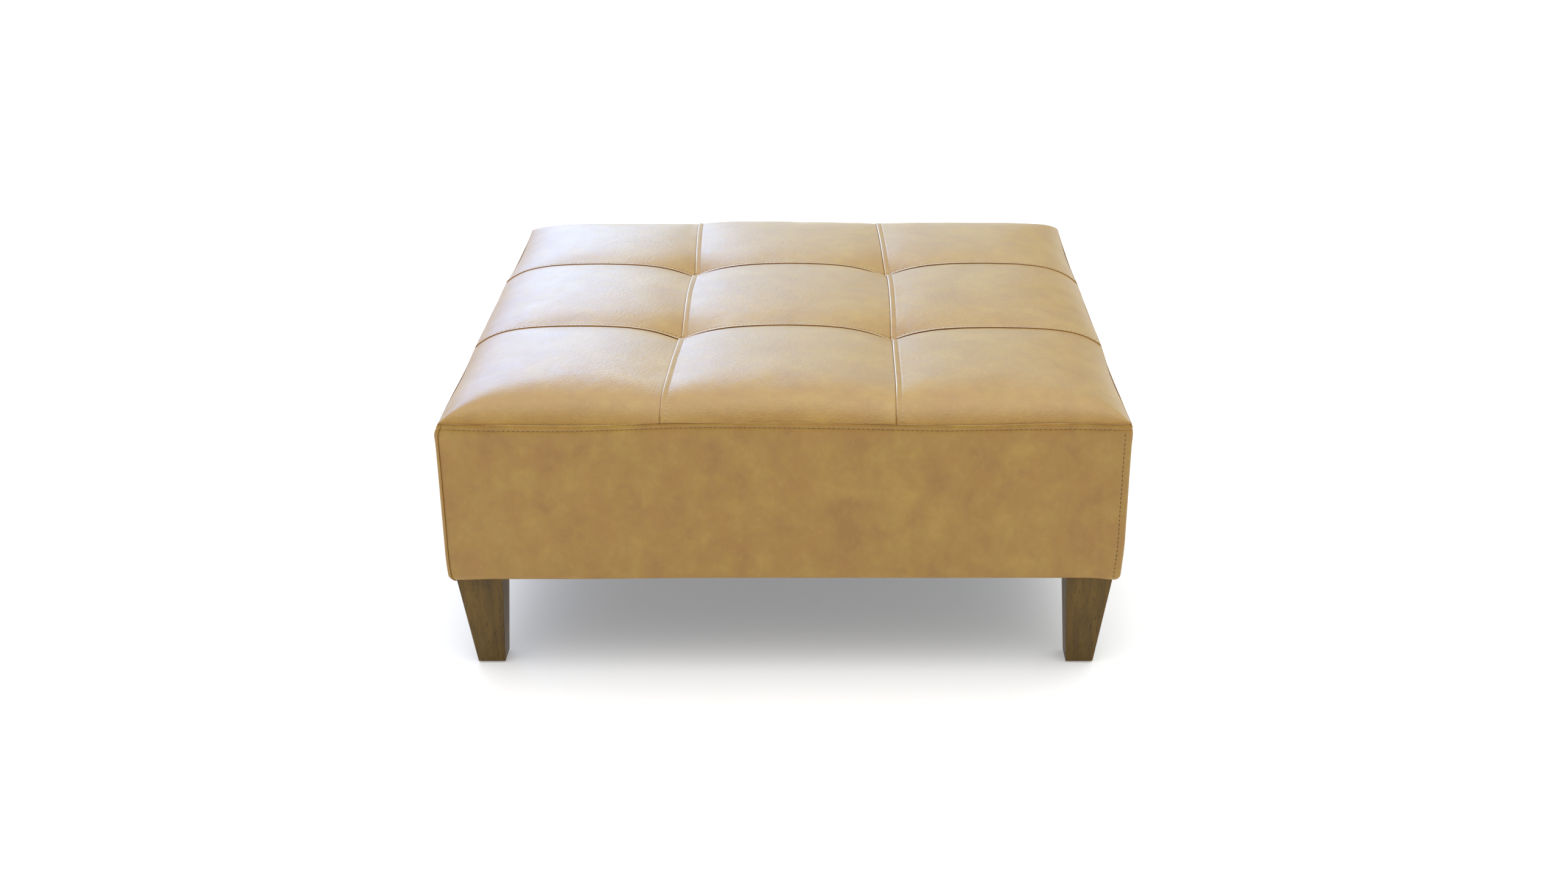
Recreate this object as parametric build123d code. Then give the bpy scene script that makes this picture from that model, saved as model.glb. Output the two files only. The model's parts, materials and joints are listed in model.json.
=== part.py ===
from build123d import *
import math
import os

os.makedirs("parts", exist_ok=True)

# ---------------------------------------------------------------------------
# Square leather ottoman on four tapered wood legs.
# Millimetres, +Z up, front faces -Y. The origin is on the floor under the
# middle of the object.
# ---------------------------------------------------------------------------

# overall
seat_half = 457.0        # half the width and depth at the top seam
seam_z = 367.5           # height of the top seam at the corners
seam_bow = 3.0           # how much the seam rises in the middle of a side
box_z = 140.0            # underside of the upholstered box
box_half_low = 456.2     # half width of the box at its bottom edge
box_half_mid = 458.4     # half width half way up
box_bulge = 459.3        # widest half width, just under the top seam
box_bulge_z = 345.0
box_corner_r = 6.0       # rounding of the bottom edge

# crown of the top
crown_rise = 36.5        # rise of the seam lines over the top seam
crown_soft = 34.0        # how quickly the top rises from its edge
cell_puff = 8.0          # extra rise in the middle of a cell
tuft_depth = 20.0        # how far each tuft is pulled down
tuft_reach = 44.0        # spread of the pull
col_x = (-156.0, 151.0)  # seams that run front to back
row_y = (-152.0, 152.0)  # seams that run left to right
tuft_xy = [(x, y) for x in (-154.0, 153.0) for y in row_y]

# soft layers
hide_t = 1.2             # leather
wad_t = 10.0             # polyester wadding on the foam
wad_half = 455.0
fold_w = 72.0            # leather folded under the frame
cloth_t = 0.6            # dust cover
cloth_half = 439.0
cloth_gap = 3.0          # clearance of the dust cover round each leg

# frame
frame_half = 443.0       # outer face of the wood frame
frame_z = box_z + hide_t
liner_t = 3.0
post_w = 45.0
rail_t = 22.0
rail_h = 65.0
deck_z = 298.0
deck_t = 12.0
brace_t = 22.0
brace_x = 225.0          # cross braces under the deck
gusset_h = 32.0
gusset_out = 345.0       # outer diagonal of the corner braces
gusset_in = 300.0        # inner diagonal
dowel_r = 5.0
dowel_l = 50.0
twine_hole_r = 4.0
twine_r = 1.0
toggle_r = 14.0
toggle_t = 5.0

# legs
leg_top = 63.5
leg_low = 37.9
leg_c_top = 416.25       # leg centre at its top
leg_c_low = 410.45       # leg centre at the floor
leg_edge_r = 1.5
glide_t = 2.0
glide_r = 12.5
nail_r = 1.1
bolt_r = 4.0
bolt_low_z = 98.0
bolt_top_z = 164.0
insert_r = 6.5
insert_l = 20.0
insert_flange_r = 8.5
insert_flange_t = 1.5

nodes = {}


def box(x0, x1, y0, y1, z0, z1):
    """Block between two corners."""
    return Pos((x0 + x1) / 2, (y0 + y1) / 2, (z0 + z1) / 2) * Box(
        abs(x1 - x0), abs(y1 - y0), abs(z1 - z0)
    )


def rod(x, y, z0, z1, r):
    """Upright cylinder."""
    return Pos(x, y, (z0 + z1) / 2) * Cylinder(r, z1 - z0)


def rod_x(x0, x1, y, z, r):
    """Cylinder along X."""
    return Pos((x0 + x1) / 2, y, z) * Rot(0, 90, 0) * Cylinder(r, abs(x1 - x0))


def rod_y(x, y0, y1, z, r):
    """Cylinder along Y."""
    return Pos(x, (y0 + y1) / 2, z) * Rot(90, 0, 0) * Cylinder(r, abs(y1 - y0))


def turned(shape, quarter):
    """The same piece a number of quarter turns round Z."""
    return Rot(0, 0, 90 * quarter) * shape


def solids_of(*shapes):
    """One group of separate solids."""
    found = []
    for s in shapes:
        found += list(s.solids())
    return found


def cut_all(shape, tools):
    """Shape less every tool that its box meets."""
    b = shape.bounding_box()
    near = []
    for t in tools:
        c = t.bounding_box()
        if (
            c.min.X < b.max.X and c.max.X > b.min.X
            and c.min.Y < b.max.Y and c.max.Y > b.min.Y
            and c.min.Z < b.max.Z and c.max.Z > b.min.Z
        ):
            near.append(t)
    if not near:
        return shape
    return shape - near


corners = [(-1, -1), (1, -1), (1, 1), (-1, 1)]
corner_name = {
    (-1, -1): "front_left",
    (1, -1): "front_right",
    (1, 1): "back_right",
    (-1, 1): "back_left",
}
side_name = ["front", "right", "back", "left"]  # quarter turns of the front piece


# ---------------------------------------------------------------------------
# The crowned, tufted top as one surface, higher than its edges and pulled
# down at the four tufts. Layers under it are the same surface moved down.
# ---------------------------------------------------------------------------
def rise(d):
    """Share of the crown reached at distance d in from the edge."""
    if d < 0:
        return 0.0452 * d / 1.0
    return 1.0 - math.exp(-(((d + 2.0) / crown_soft) ** 0.75) + (2.0 / crown_soft) ** 0.75)


def puff(t, lines):
    """Bump between neighbouring seams, 0 on a seam and 1 half way."""
    stops = [-seat_half, *lines, seat_half]
    for a, b in zip(stops, stops[1:]):
        if a <= t <= b:
            u = (t - a) / (b - a)
            return math.sin(math.pi * u)
    return 0.0


def top_z(x, y):
    """Height of the leather's outer surface."""
    dx, dy = seat_half - abs(x), seat_half - abs(y)
    bow = seam_bow * (
        math.cos(min(1.0, abs(x) / seat_half) * math.pi / 2)
        + math.cos(min(1.0, abs(y) / seat_half) * math.pi / 2)
    )
    body = crown_rise * min(rise(dx), 1.0) * min(rise(dy), 1.0)
    if dx < 0 or dy < 0:
        body = crown_rise * (min(rise(dx), 0.0) + min(rise(dy), 0.0))
    z = seam_z + bow * (1.0 - 0.75 * max(0.0, min(rise(dx), rise(dy), 1.0))) + body
    z += cell_puff * puff(x, col_x) * puff(y, row_y)
    for tx, ty in tuft_xy:
        r = math.hypot(x - tx, y - ty)
        z -= tuft_depth * math.exp(-((r / tuft_reach) ** 1.6))
    return z


def stations(lines):
    """Grid lines, close together near the edges and the tufts."""
    half = [0, 8, 18, 32, 50, 72, 98]
    s = [-seat_half - 24, -seat_half - 8]
    s += [-seat_half + h for h in half]
    s += [-325, -290, -255, -222, -196, -176]
    t = sorted(s)
    mid = [-136, -112, -80, -40, 0]
    t += [-155] + mid
    return t[:-1] + [0.0] + [-v for v in reversed(t[:-1])]


grid = sorted(set(stations(col_x)))
net = [[(x, y, top_z(x, y)) for x in grid] for y in grid]
crown_face = Face.make_surface_from_array_of_points(net, tol=0.05, min_deg=3, max_deg=3)


def under(depth, thick):
    """Slab of the crown's shape, thick downwards, starting depth below it."""
    face = Pos(0, 0, -depth) * crown_face
    return Solid.extrude(face, Vector(0, 0, -thick))


# twines that pull the tufts down, each ending in a knot under its toggle
twines = []
for tx, ty in tuft_xy:
    z_end = deck_z - toggle_t
    t = rod(tx, ty, z_end - 2.0, top_z(tx, ty) - hide_t - 0.6, twine_r)
    knot = Pos(tx, ty, z_end - 3.2) * Sphere(3.2)
    twines += solids_of(t + knot)
nodes["tuft_twines"] = twines

toggles = []
for tx, ty in tuft_xy:
    disc = rod(tx, ty, deck_z - toggle_t, deck_z, toggle_r)
    disc = chamfer(disc.edges().filter_by(GeomType.CIRCLE).group_by(Axis.Z)[0], 1.2)
    toggles += solids_of(cut_all(disc, twines))
nodes["tuft_toggles"] = toggles

# ---------------------------------------------------------------------------
# Legs, glides, hanger bolts and threaded inserts
# ---------------------------------------------------------------------------
leg_blank = Solid.make_loft(
    [
        (Pos(leg_c_low, leg_c_low, glide_t) * Rectangle(leg_low, leg_low)).wires()[0],
        (Pos(leg_c_top, leg_c_top, box_z) * Rectangle(leg_top, leg_top)).wires()[0],
    ],
    ruled=True,
)
upright = [e for e in leg_blank.edges() if abs(e.bounding_box().size.Z) > 50]
leg_blank = fillet(upright, leg_edge_r)
leg_blank = chamfer(leg_blank.edges().group_by(Axis.Z)[0], 0.8)

glides, nails, bolts, inserts = [], [], [], []
for sx, sy in corners:
    cx, cy = sx * leg_c_low, sy * leg_c_low
    bx, by = sx * leg_c_top, sy * leg_c_top
    nail = rod(cx, cy, 0.9, 20.0, nail_r) + rod(cx, cy, 0.9, 1.5, 3.0)
    nails += solids_of(nail)
    disc = rod(cx, cy, 0.0, glide_t, glide_r)
    disc = chamfer(disc.edges().filter_by(GeomType.CIRCLE).group_by(Axis.Z)[0], 0.7)
    nodes["glide_" + corner_name[sx, sy]] = cut_all(disc, [nail])
    bolts += solids_of(rod(bx, by, bolt_low_z, bolt_top_z, bolt_r))
    sleeve = rod(bx, by, frame_z, frame_z + insert_l, insert_r)
    sleeve += rod(bx, by, frame_z, frame_z + insert_flange_t, insert_flange_r)
    sleeve -= rod(bx, by, frame_z - 1, frame_z + insert_l + 1, bolt_r)
    inserts += solids_of(sleeve)
nodes["glide_nails"] = nails
nodes["hanger_bolts"] = bolts
nodes["threaded_inserts"] = inserts

leg_turn = {(1, 1): 0, (-1, 1): 1, (-1, -1): 2, (1, -1): 3}
for c in corners:
    leg = turned(leg_blank, leg_turn[c])
    nodes["leg_" + corner_name[c]] = cut_all(leg, nails + bolts)

# ---------------------------------------------------------------------------
# Fasteners of the frame
# ---------------------------------------------------------------------------
rail_c = frame_half - rail_t / 2
post_in = frame_half - post_w
low_rail_z = (frame_z, frame_z + rail_h)
top_rail_z = (deck_z - rail_h, deck_z)

dowels = []
for z0, z1 in (low_rail_z, top_rail_z):
    for z in (z0 + 18, z1 - 17):
        for q in range(4):
            for s in (-1, 1):
                d = rod_x(s * (post_in - dowel_l / 2), s * (post_in + dowel_l / 2 - 1), -rail_c, z, dowel_r)
                dowels += solids_of(turned(d, q))
nodes["rail_dowels"] = dowels


def screw_down(x, y, z_head, length, r=2.0, head_r=4.2, head_h=3.0):
    """Countersunk screw with its head up, flush at z_head."""
    shank = rod(x, y, z_head - length, z_head - head_h + 0.01, r)
    head = Pos(x, y, z_head - head_h / 2) * Cone(r, head_r, head_h)
    return shank + head


def screw_in(x, y, z, length, r=2.2, head_r=4.6, head_h=3.4):
    """Countersunk screw driven towards +Y, its head flush at y."""
    shank = rod_y(x, y + head_h - 0.01, y + length, z, r)
    head = Pos(x, y + head_h / 2, z) * Rot(90, 0, 0) * Cone(r, head_r, head_h)
    return shank + head


deck_screws = []
for q in range(4):
    for x in (-360, -240, -120, 0, 120, 240, 360):
        deck_screws += solids_of(turned(screw_down(x, -rail_c, deck_z + deck_t, 40), q))
for x in (-brace_x, brace_x):
    for y in (-280, 0, 280):
        deck_screws += solids_of(screw_down(x, y, deck_z + deck_t, 40))
nodes["deck_screws"] = deck_screws

frame_screws = []
gusset_mid = frame_z + gusset_h / 2
for q in range(4):
    for s in (-1, 1):
        frame_screws += solids_of(turned(screw_in(s * 333, -frame_half, gusset_mid, 42), q))
for q in (0, 2):
    for x in (-brace_x, brace_x):
        for z in (top_rail_z[0] + 15, top_rail_z[1] - 22):
            frame_screws += solids_of(turned(screw_in(x, -frame_half, z, 60), q))
nodes["frame_screws"] = frame_screws

# ---------------------------------------------------------------------------
# Staples: the leather's folded edge, then the dust cover over it
# ---------------------------------------------------------------------------
def staple(x, y, z_top, depth, along_x=True, crown=10.0, wire=0.9):
    """Staple seen from below: crown across, two points up."""
    if along_x:
        s = box(x - crown / 2, x + crown / 2, y - wire / 2, y + wire / 2, z_top - wire * 0.7, z_top)
        for k in (-1, 1):
            e = x + k * (crown / 2 - wire * 0.35)
            s += box(e - wire * 0.35, e + wire * 0.35, y - wire / 2, y + wire / 2, z_top - 0.1, z_top + depth)
    else:
        s = box(x - wire / 2, x + wire / 2, y - crown / 2, y + crown / 2, z_top - wire * 0.7, z_top)
        for k in (-1, 1):
            e = y + k * (crown / 2 - wire * 0.35)
            s += box(x - wire / 2, x + wire / 2, e - wire * 0.35, e + wire * 0.35, z_top - 0.1, z_top + depth)
    return s


hide_staples, cloth_staples = [], []
n_hide, n_cloth = 15, 15
for q in range(4):
    for i in range(n_hide):
        x = -350 + 700 * i / (n_hide - 1)
        hide_staples += solids_of(turned(staple(x, -427.0, box_z + 0.63, 7.0), q))
    for i in range(n_cloth):
        x = -364 + 728 * i / (n_cloth - 1)
        cloth_staples += solids_of(turned(staple(x, -434.0, box_z - cloth_t, 7.0), q))
staples = hide_staples + cloth_staples
nodes["underside_staples"] = staples

# ---------------------------------------------------------------------------
# Wood frame
# ---------------------------------------------------------------------------
for sx, sy in corners:
    x0, x1 = sorted((sx * post_in, sx * frame_half))
    y0, y1 = sorted((sy * post_in, sy * frame_half))
    post = box(x0, x1, y0, y1, frame_z, deck_z)
    bx, by = sx * leg_c_top, sy * leg_c_top
    post -= rod(bx, by, frame_z - 1, frame_z + insert_flange_t, insert_flange_r)
    post -= rod(bx, by, frame_z, frame_z + insert_l, insert_r)
    post -= rod(bx, by, frame_z + insert_l - 1, bolt_top_z + 6, bolt_r + 0.5)
    nodes["corner_post_" + corner_name[sx, sy]] = cut_all(post, dowels + deck_screws)

for q in range(4):
    for kind, (z0, z1) in (("bottom_rail_", low_rail_z), ("top_rail_", top_rail_z)):
        rail = box(-post_in, post_in, -frame_half, -frame_half + rail_t, z0, z1)
        rail = turned(rail, q)
        nodes[kind + side_name[q]] = cut_all(rail, dowels + deck_screws + frame_screws + staples)

for c in corners:
    inner = frame_half - rail_t
    outline = Polyline(
        (inner, gusset_out), (gusset_out, inner), (gusset_in, inner), (inner, gusset_in), (inner, gusset_out)
    )
    gusset = Pos(0, 0, frame_z) * extrude(make_face(outline), gusset_h)
    gusset = turned(gusset, leg_turn[c])
    nodes["corner_brace_" + corner_name[c]] = cut_all(gusset, frame_screws)

for s, name in ((-1, "cross_brace_left"), (1, "cross_brace_right")):
    inner = frame_half - rail_t
    beam = box(s * brace_x - brace_t / 2, s * brace_x + brace_t / 2, -inner, inner, top_rail_z[0], deck_z)
    nodes[name] = cut_all(beam, deck_screws + frame_screws)

deck = box(-frame_half, frame_half, -frame_half, frame_half, deck_z, deck_z + deck_t)
deck -= [rod(tx, ty, deck_z - 1, deck_z + deck_t + 1, twine_hole_r) for tx, ty in tuft_xy]
nodes["deck_board"] = cut_all(deck, deck_screws)

liner_top = deck_z + deck_t
liner_half = frame_half + liner_t
for q in range(4):
    long_half = liner_half if q % 2 == 0 else frame_half
    liner = box(-long_half, long_half, -liner_half, -frame_half, frame_z, liner_top)
    nodes["side_liner_" + side_name[q]] = turned(liner, q)

# ---------------------------------------------------------------------------
# Foam, wadding and leather on top
# ---------------------------------------------------------------------------
column = box(-liner_half, liner_half, -liner_half, liner_half, liner_top, 440)
foam = under(hide_t + wad_t, 200) & column
nodes["foam_block"] = cut_all(foam, twines)

column = box(-wad_half, wad_half, -wad_half, wad_half, 300, 440)
wadding = under(hide_t, wad_t) & column
nodes["top_wadding"] = cut_all(wadding, twines)

hide = under(0, hide_t)
x_cuts = [-seat_half, *col_x, seat_half]
y_cuts = [-seat_half, *row_y, seat_half]
for j, row in enumerate(("front", "middle", "back")):
    for i, col in enumerate(("left", "centre", "right")):
        cell = box(x_cuts[i], x_cuts[i + 1], y_cuts[j], y_cuts[j + 1], 300, 440)
        nodes[f"top_panel_{row}_{col}"] = hide & cell

# ---------------------------------------------------------------------------
# Side leather: a wall that bulges a little under the top seam, rounds the
# bottom edge and folds under. Mitred where two sides meet at a corner.
# ---------------------------------------------------------------------------
def wall_line(offset):
    """Outer line of the front wall, moved inwards by offset (y, z)."""
    return [
        (-(seat_half - offset), seam_z + 12),
        (-(seat_half + 1.5 - offset), seam_z - 8),
        (-(box_bulge - offset), box_bulge_z),
        (-(box_half_mid - offset), 270.0),
        (-(box_half_mid - 0.5 - offset), 190.0),
        (-(box_half_low - offset), box_z + box_corner_r),
    ]


def mitre(reach=700.0):
    """Wedge that keeps the front quarter of the plan."""
    tri = Polyline((0, 0), (-reach, -reach), (reach, -reach), (0, 0))
    return extrude(make_face(tri), 600)


def front_prism(lines):
    """Profile in the YZ plane carried along X, mitred at both ends."""
    face = Face(Wire(lines))
    solid = Solid.extrude(face.moved(Location((-520, 0, 0))), Vector(1040, 0, 0))
    return solid & mitre()


def pt(y, z):
    return Vector(0, y, z)


r_out, r_in = box_corner_r, box_corner_r - hide_t
fold_y = -(box_half_low - fold_w)
outer = wall_line(0.0)
inner_line = wall_line(hide_t)
centre_y = -(box_half_low - r_out)
centre_z = box_z + r_out
k = math.sqrt(0.5)
outer_curve = Edge.make_spline([pt(*p) for p in outer])
inner_curve = Edge.make_spline([pt(*p) for p in inner_line])
skin_lines = [
    outer_curve,
    Edge.make_three_point_arc(
        pt(*outer[-1]), pt(centre_y - r_out * k, centre_z - r_out * k), pt(centre_y, box_z)
    ),
    Edge.make_line(pt(centre_y, box_z), pt(fold_y, box_z)),
    Edge.make_line(pt(fold_y, box_z), pt(fold_y, box_z + hide_t)),
    Edge.make_line(pt(fold_y, box_z + hide_t), pt(centre_y, box_z + hide_t)),
    Edge.make_three_point_arc(
        pt(centre_y, box_z + hide_t), pt(centre_y - r_in * k, centre_z - r_in * k), pt(*inner_line[-1])
    ),
    inner_curve,
    Edge.make_line(pt(*inner_line[0]), pt(*outer[0])),
]
below_top = under(hide_t, 320)
skin_blank = front_prism(skin_lines) & below_top
bolt_holes = [rod(s * leg_c_top, t * leg_c_top, box_z - 5, frame_z + 5, bolt_r + 1) for s, t in corners]

pad_lines = [
    inner_curve,
    Edge.make_line(pt(*inner_line[0]), pt(-liner_half, inner_line[0][1])),
    Edge.make_line(pt(-liner_half, inner_line[0][1]), pt(-liner_half, inner_line[-1][1])),
    Edge.make_line(pt(-liner_half, inner_line[-1][1]), pt(*inner_line[-1])),
]
pad_blank = front_prism(pad_lines) & box(-600, 600, -600, 0, box_z, seam_z - 15)
for q in range(4):
    skin = turned(skin_blank, q)
    nodes["side_panel_" + side_name[q]] = cut_all(skin, bolt_holes + staples)
    nodes["side_wadding_" + side_name[q]] = turned(pad_blank, q)

# ---------------------------------------------------------------------------
# Dust cover: thin cloth under the frame, cut away round the legs
# ---------------------------------------------------------------------------
cloth = box(-cloth_half, cloth_half, -cloth_half, cloth_half, box_z - cloth_t, box_z)
leg_in = leg_c_top - leg_top / 2 - cloth_gap
for sx, sy in corners:
    x0, x1 = sorted((sx * leg_in, sx * 500))
    y0, y1 = sorted((sy * leg_in, sy * 500))
    cloth -= box(x0, x1, y0, y1, box_z - 5, box_z + 5)
nodes["dust_cover"] = cut_all(cloth, staples)

for name, shape in nodes.items():
    solids = shape if isinstance(shape, list) else solids_of(shape)
    export_step(Compound(children=[Solid(s.wrapped) for s in solids]), f"parts/{name}.step")
print(len(nodes), "nodes")
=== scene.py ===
import json
import math

import bpy
import numpy as np
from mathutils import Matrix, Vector


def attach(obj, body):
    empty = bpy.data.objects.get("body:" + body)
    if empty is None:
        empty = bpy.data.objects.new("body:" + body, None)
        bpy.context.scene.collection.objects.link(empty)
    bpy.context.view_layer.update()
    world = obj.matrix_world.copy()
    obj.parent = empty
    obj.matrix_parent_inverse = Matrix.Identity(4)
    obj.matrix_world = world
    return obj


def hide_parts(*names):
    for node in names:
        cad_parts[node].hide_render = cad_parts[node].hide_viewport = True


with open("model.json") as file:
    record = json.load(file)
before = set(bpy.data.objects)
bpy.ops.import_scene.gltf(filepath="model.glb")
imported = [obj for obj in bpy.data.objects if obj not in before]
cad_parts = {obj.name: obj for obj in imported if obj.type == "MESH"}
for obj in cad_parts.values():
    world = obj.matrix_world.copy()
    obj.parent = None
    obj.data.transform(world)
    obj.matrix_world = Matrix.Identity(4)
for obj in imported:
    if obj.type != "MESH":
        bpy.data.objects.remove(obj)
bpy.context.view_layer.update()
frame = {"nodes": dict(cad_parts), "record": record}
scene = bpy.context.scene

# ---------------------------------------------------------------------------
# Sizes in millimetres, in the frame of the CAD: front faces -Y, floor at z 0.
# ---------------------------------------------------------------------------
HALF = 457.0            # half the width at the top seam
HIDE = 1.2              # leather thickness
SEAM_Z = 368.2          # top seam at the corners
BOW = 3.4               # rise of the seam in the middle of each side
CREST = 30.6            # rise of the sewn lines over the top seam
EDGE_SOFT = 34.0        # distance over which the top rises from its edge
EDGE_SOFT_FRONT = 20.0  # the same at the front, where it is fuller
PUFF = 5.6    # extra rise in the middle of a cell; the simulation adds the rest
TUFT = 18.0             # depth of a tuft under the sewn lines
PITCH = 6.5             # topstitch
BOX_Z = 140.0
BOX_R = 6.0
FOLD = 72.0

# seams that run front to back, one line for each row strip (y, x)
COLS = {
    ("front", 0): [(-457, -163.0), (-372, -159.4), (-296, -157.2), (-225, -155.2), (-152.3, -157.0)],
    ("middle", 0): [(-152.3, -153.8), (-80, -154.0), (0, -155.0), (80, -154.2), (152.3, -155.0)],
    ("back", 0): [(152.3, -152.6), (209, -155.0), (282, -157.6), (350, -160.0), (457, -163.0)],
    ("front", 1): [(-457, 149.0), (-380, 150.4), (-300, 150.6), (-225, 151.0), (-152.3, 152.4)],
    ("middle", 1): [(-152.3, 150.8), (-80, 151.8), (0, 152.2), (80, 151.8), (152.3, 150.9)],
    ("back", 1): [(152.3, 150.4), (205, 147.2), (274, 144.8), (350, 142.4), (457, 140.0)],
}
ROWS = {
    0: [(-457, -152.6), (-300, -151.6), (-154, -153.2), (0, -151.6), (152, -153.0), (300, -151.8), (457, -152.6)],
    1: [(-457, 152.2), (-300, 153.2), (-154, 151.6), (0, 153.0), (152, 151.8), (300, 153.0), (457, 152.4)],
}
ROW_NAMES = ("front", "middle", "back")
COL_NAMES = ("left", "centre", "right")
TUFTS = [(-155.4, -153.2), (151.8, -153.0), (-153.8, 151.6), (150.8, 151.8)]


def spline(points):
    """Smooth line through a few points, as a function of one coordinate."""
    t = np.array([p[0] for p in points], float)
    v = np.array([p[1] for p in points], float)
    n = len(t)
    h = np.diff(t)
    a = np.zeros((n, n))
    b = np.zeros(n)
    a[0, 0] = a[-1, -1] = 1
    for i in range(1, n - 1):
        a[i, i - 1], a[i, i], a[i, i + 1] = h[i - 1], 2 * (h[i - 1] + h[i]), h[i]
        b[i] = 3 * ((v[i + 1] - v[i]) / h[i] - (v[i] - v[i - 1]) / h[i - 1])
    c = np.linalg.solve(a, b)
    d = np.diff(c) / (3 * h)
    e = np.diff(v) / h - h * (2 * c[:-1] + c[1:]) / 3

    def at(x):
        x = np.asarray(x, float)
        k = np.clip(np.searchsorted(t, x) - 1, 0, n - 2)
        u = np.clip(x, t[0], t[-1]) - t[k]
        return v[k] + e[k] * u + c[k] * u**2 + d[k] * u**3

    return at


COL = {k: spline(p) for k, p in COLS.items()}
ROW = {k: spline(p) for k, p in ROWS.items()}


def ease(x, a, b):
    """0 before a, 1 after b, smooth between."""
    u = np.clip((np.asarray(x, float) - a) / (b - a), 0, 1)
    return u * u * (3 - 2 * u)


def value_noise(x, y, size, seed):
    """Smooth noise in -1..1 over a plane, the same every run."""
    x, y = np.asarray(x, float) / size, np.asarray(y, float) / size
    i, j = np.floor(x), np.floor(y)
    fx, fy = x - i, y - j
    fx, fy = fx * fx * fx * (fx * (fx * 6 - 15) + 10), fy * fy * fy * (fy * (fy * 6 - 15) + 10)

    def lattice(a, b):
        n = np.sin(a * 127.1 + b * 311.7 + seed * 74.7) * 43758.5453
        return 2 * (n - np.floor(n)) - 1

    return (
        lattice(i, j) * (1 - fx) * (1 - fy)
        + lattice(i + 1, j) * fx * (1 - fy)
        + lattice(i, j + 1) * (1 - fx) * fy
        + lattice(i + 1, j + 1) * fx * fy
    )


# ---------------------------------------------------------------------------
# The crowned top
# ---------------------------------------------------------------------------
# how the top seam rises and falls along a side, from its left corner to its right
SEAM_WAVE = spline(
    [(-460, 3.0), (-452, 2.3), (-433, 1.05), (-393, -0.2), (-353, -0.7), (-313, -1.8), (-273, -2.2), (-233, -1.8), (-200, -1.1),
     (-160, 0.4), (-72, 0.5), (0, 0.4), (88, -0.2), (144, -1.3), (208, -2.2), (249, -2.0), (289, -1.0), (329, 0.8), (369, 1.9),
     (409, 1.9), (433, 0.9), (445, 0.8), (453, 1.5), (460, 2.6)]
)
# how wide the band between that seam and its topstitch is, as a share
BAND_WAVE = spline(
    [(-457, 0.95), (-420, 1.04), (-360, 1.1), (-310, 1.09), (-230, 0.98), (-165, 0.97), (-72, 0.88), (0, 0.94), (88, 1.03),
     (150, 1.02), (208, 1.03), (260, 0.93), (320, 0.98), (370, 1.1), (410, 1.06), (457, 0.98)]
)


def side_places(x, y):
    """Distance in from each side and place along it: front, right, back, left."""
    return ((HALF + y, x), (HALF - x, y), (HALF - y, -x), (HALF + x, -y))


def edge_wave(x, y):
    """Rise and fall of the top seam, fading inwards."""
    top = np.zeros(np.shape(x))
    total = np.zeros(np.shape(x))
    weight = np.zeros(np.shape(x))
    for d, t in side_places(x, y):
        w = np.exp(-np.maximum(d, 0) / 45.0)
        top = np.maximum(top, w)
        total = total + w**3 * SEAM_WAVE(t)
        weight = weight + w**3
    return top * total / np.maximum(weight, 1e-12)


def crease_open(t):
    """How far the seam's crease shows along a side: the fold closes it in the middle."""
    return (1 - ease(t, -290, -185) * (1 - ease(t, 122, 150))) * (1 - 0.55 * np.exp(-(((t - 262) / 26.0) ** 2)))


def closing(z, share):
    """A seam section made shallower where its crease is closed; its hidden end stays."""
    return np.where(z < -1.2, z, z * share)


def edge_z(x, y):
    """Height of the top seam, carried over the whole top."""
    cx = np.cos(np.pi * np.clip(x, -HALF, HALF) / (2 * HALF))
    cy = np.cos(np.pi * np.clip(y, -HALF, HALF) / (2 * HALF))
    return SEAM_Z + BOW * np.sqrt(cx**2 + cy**2) + edge_wave(x, y)


def edge_rise(x, y):
    """Share of the crown reached, from 0 at the edge."""
    a = 1 - np.exp(-np.maximum(HALF - np.abs(x), 0) / EDGE_SOFT)
    b = 1 - np.exp(-np.maximum(HALF - np.abs(y), 0) / np.where(y < 0, EDGE_SOFT_FRONT, EDGE_SOFT))
    a, b = np.maximum(a, 1e-4), np.maximum(b, 1e-4)
    return (a**-3.6 + b**-3.6 - 1) ** (-1 / 3.6)


def swell(t, near, far, outer):
    """Rise of a cell between two seams; on the outer side it stays full to the edge."""
    u = (t - near) / (far - near)
    if outer is None:
        return np.sin(np.pi * np.clip(u, 0, 1)) ** 0.8
    d = np.abs(t - (far if outer == "near" else near))
    return np.sin(0.5 * np.pi * np.clip(d / 128.0, 0, 1)) ** 0.9


def seam_pull(t, s, width=33.0):
    """How far a seam is drawn down at t along it from its tuft and s beside it."""
    return TUFT * np.exp(-((t / 50.0) ** 1.3)) * np.exp(-((s / width) ** 1.12))


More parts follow.
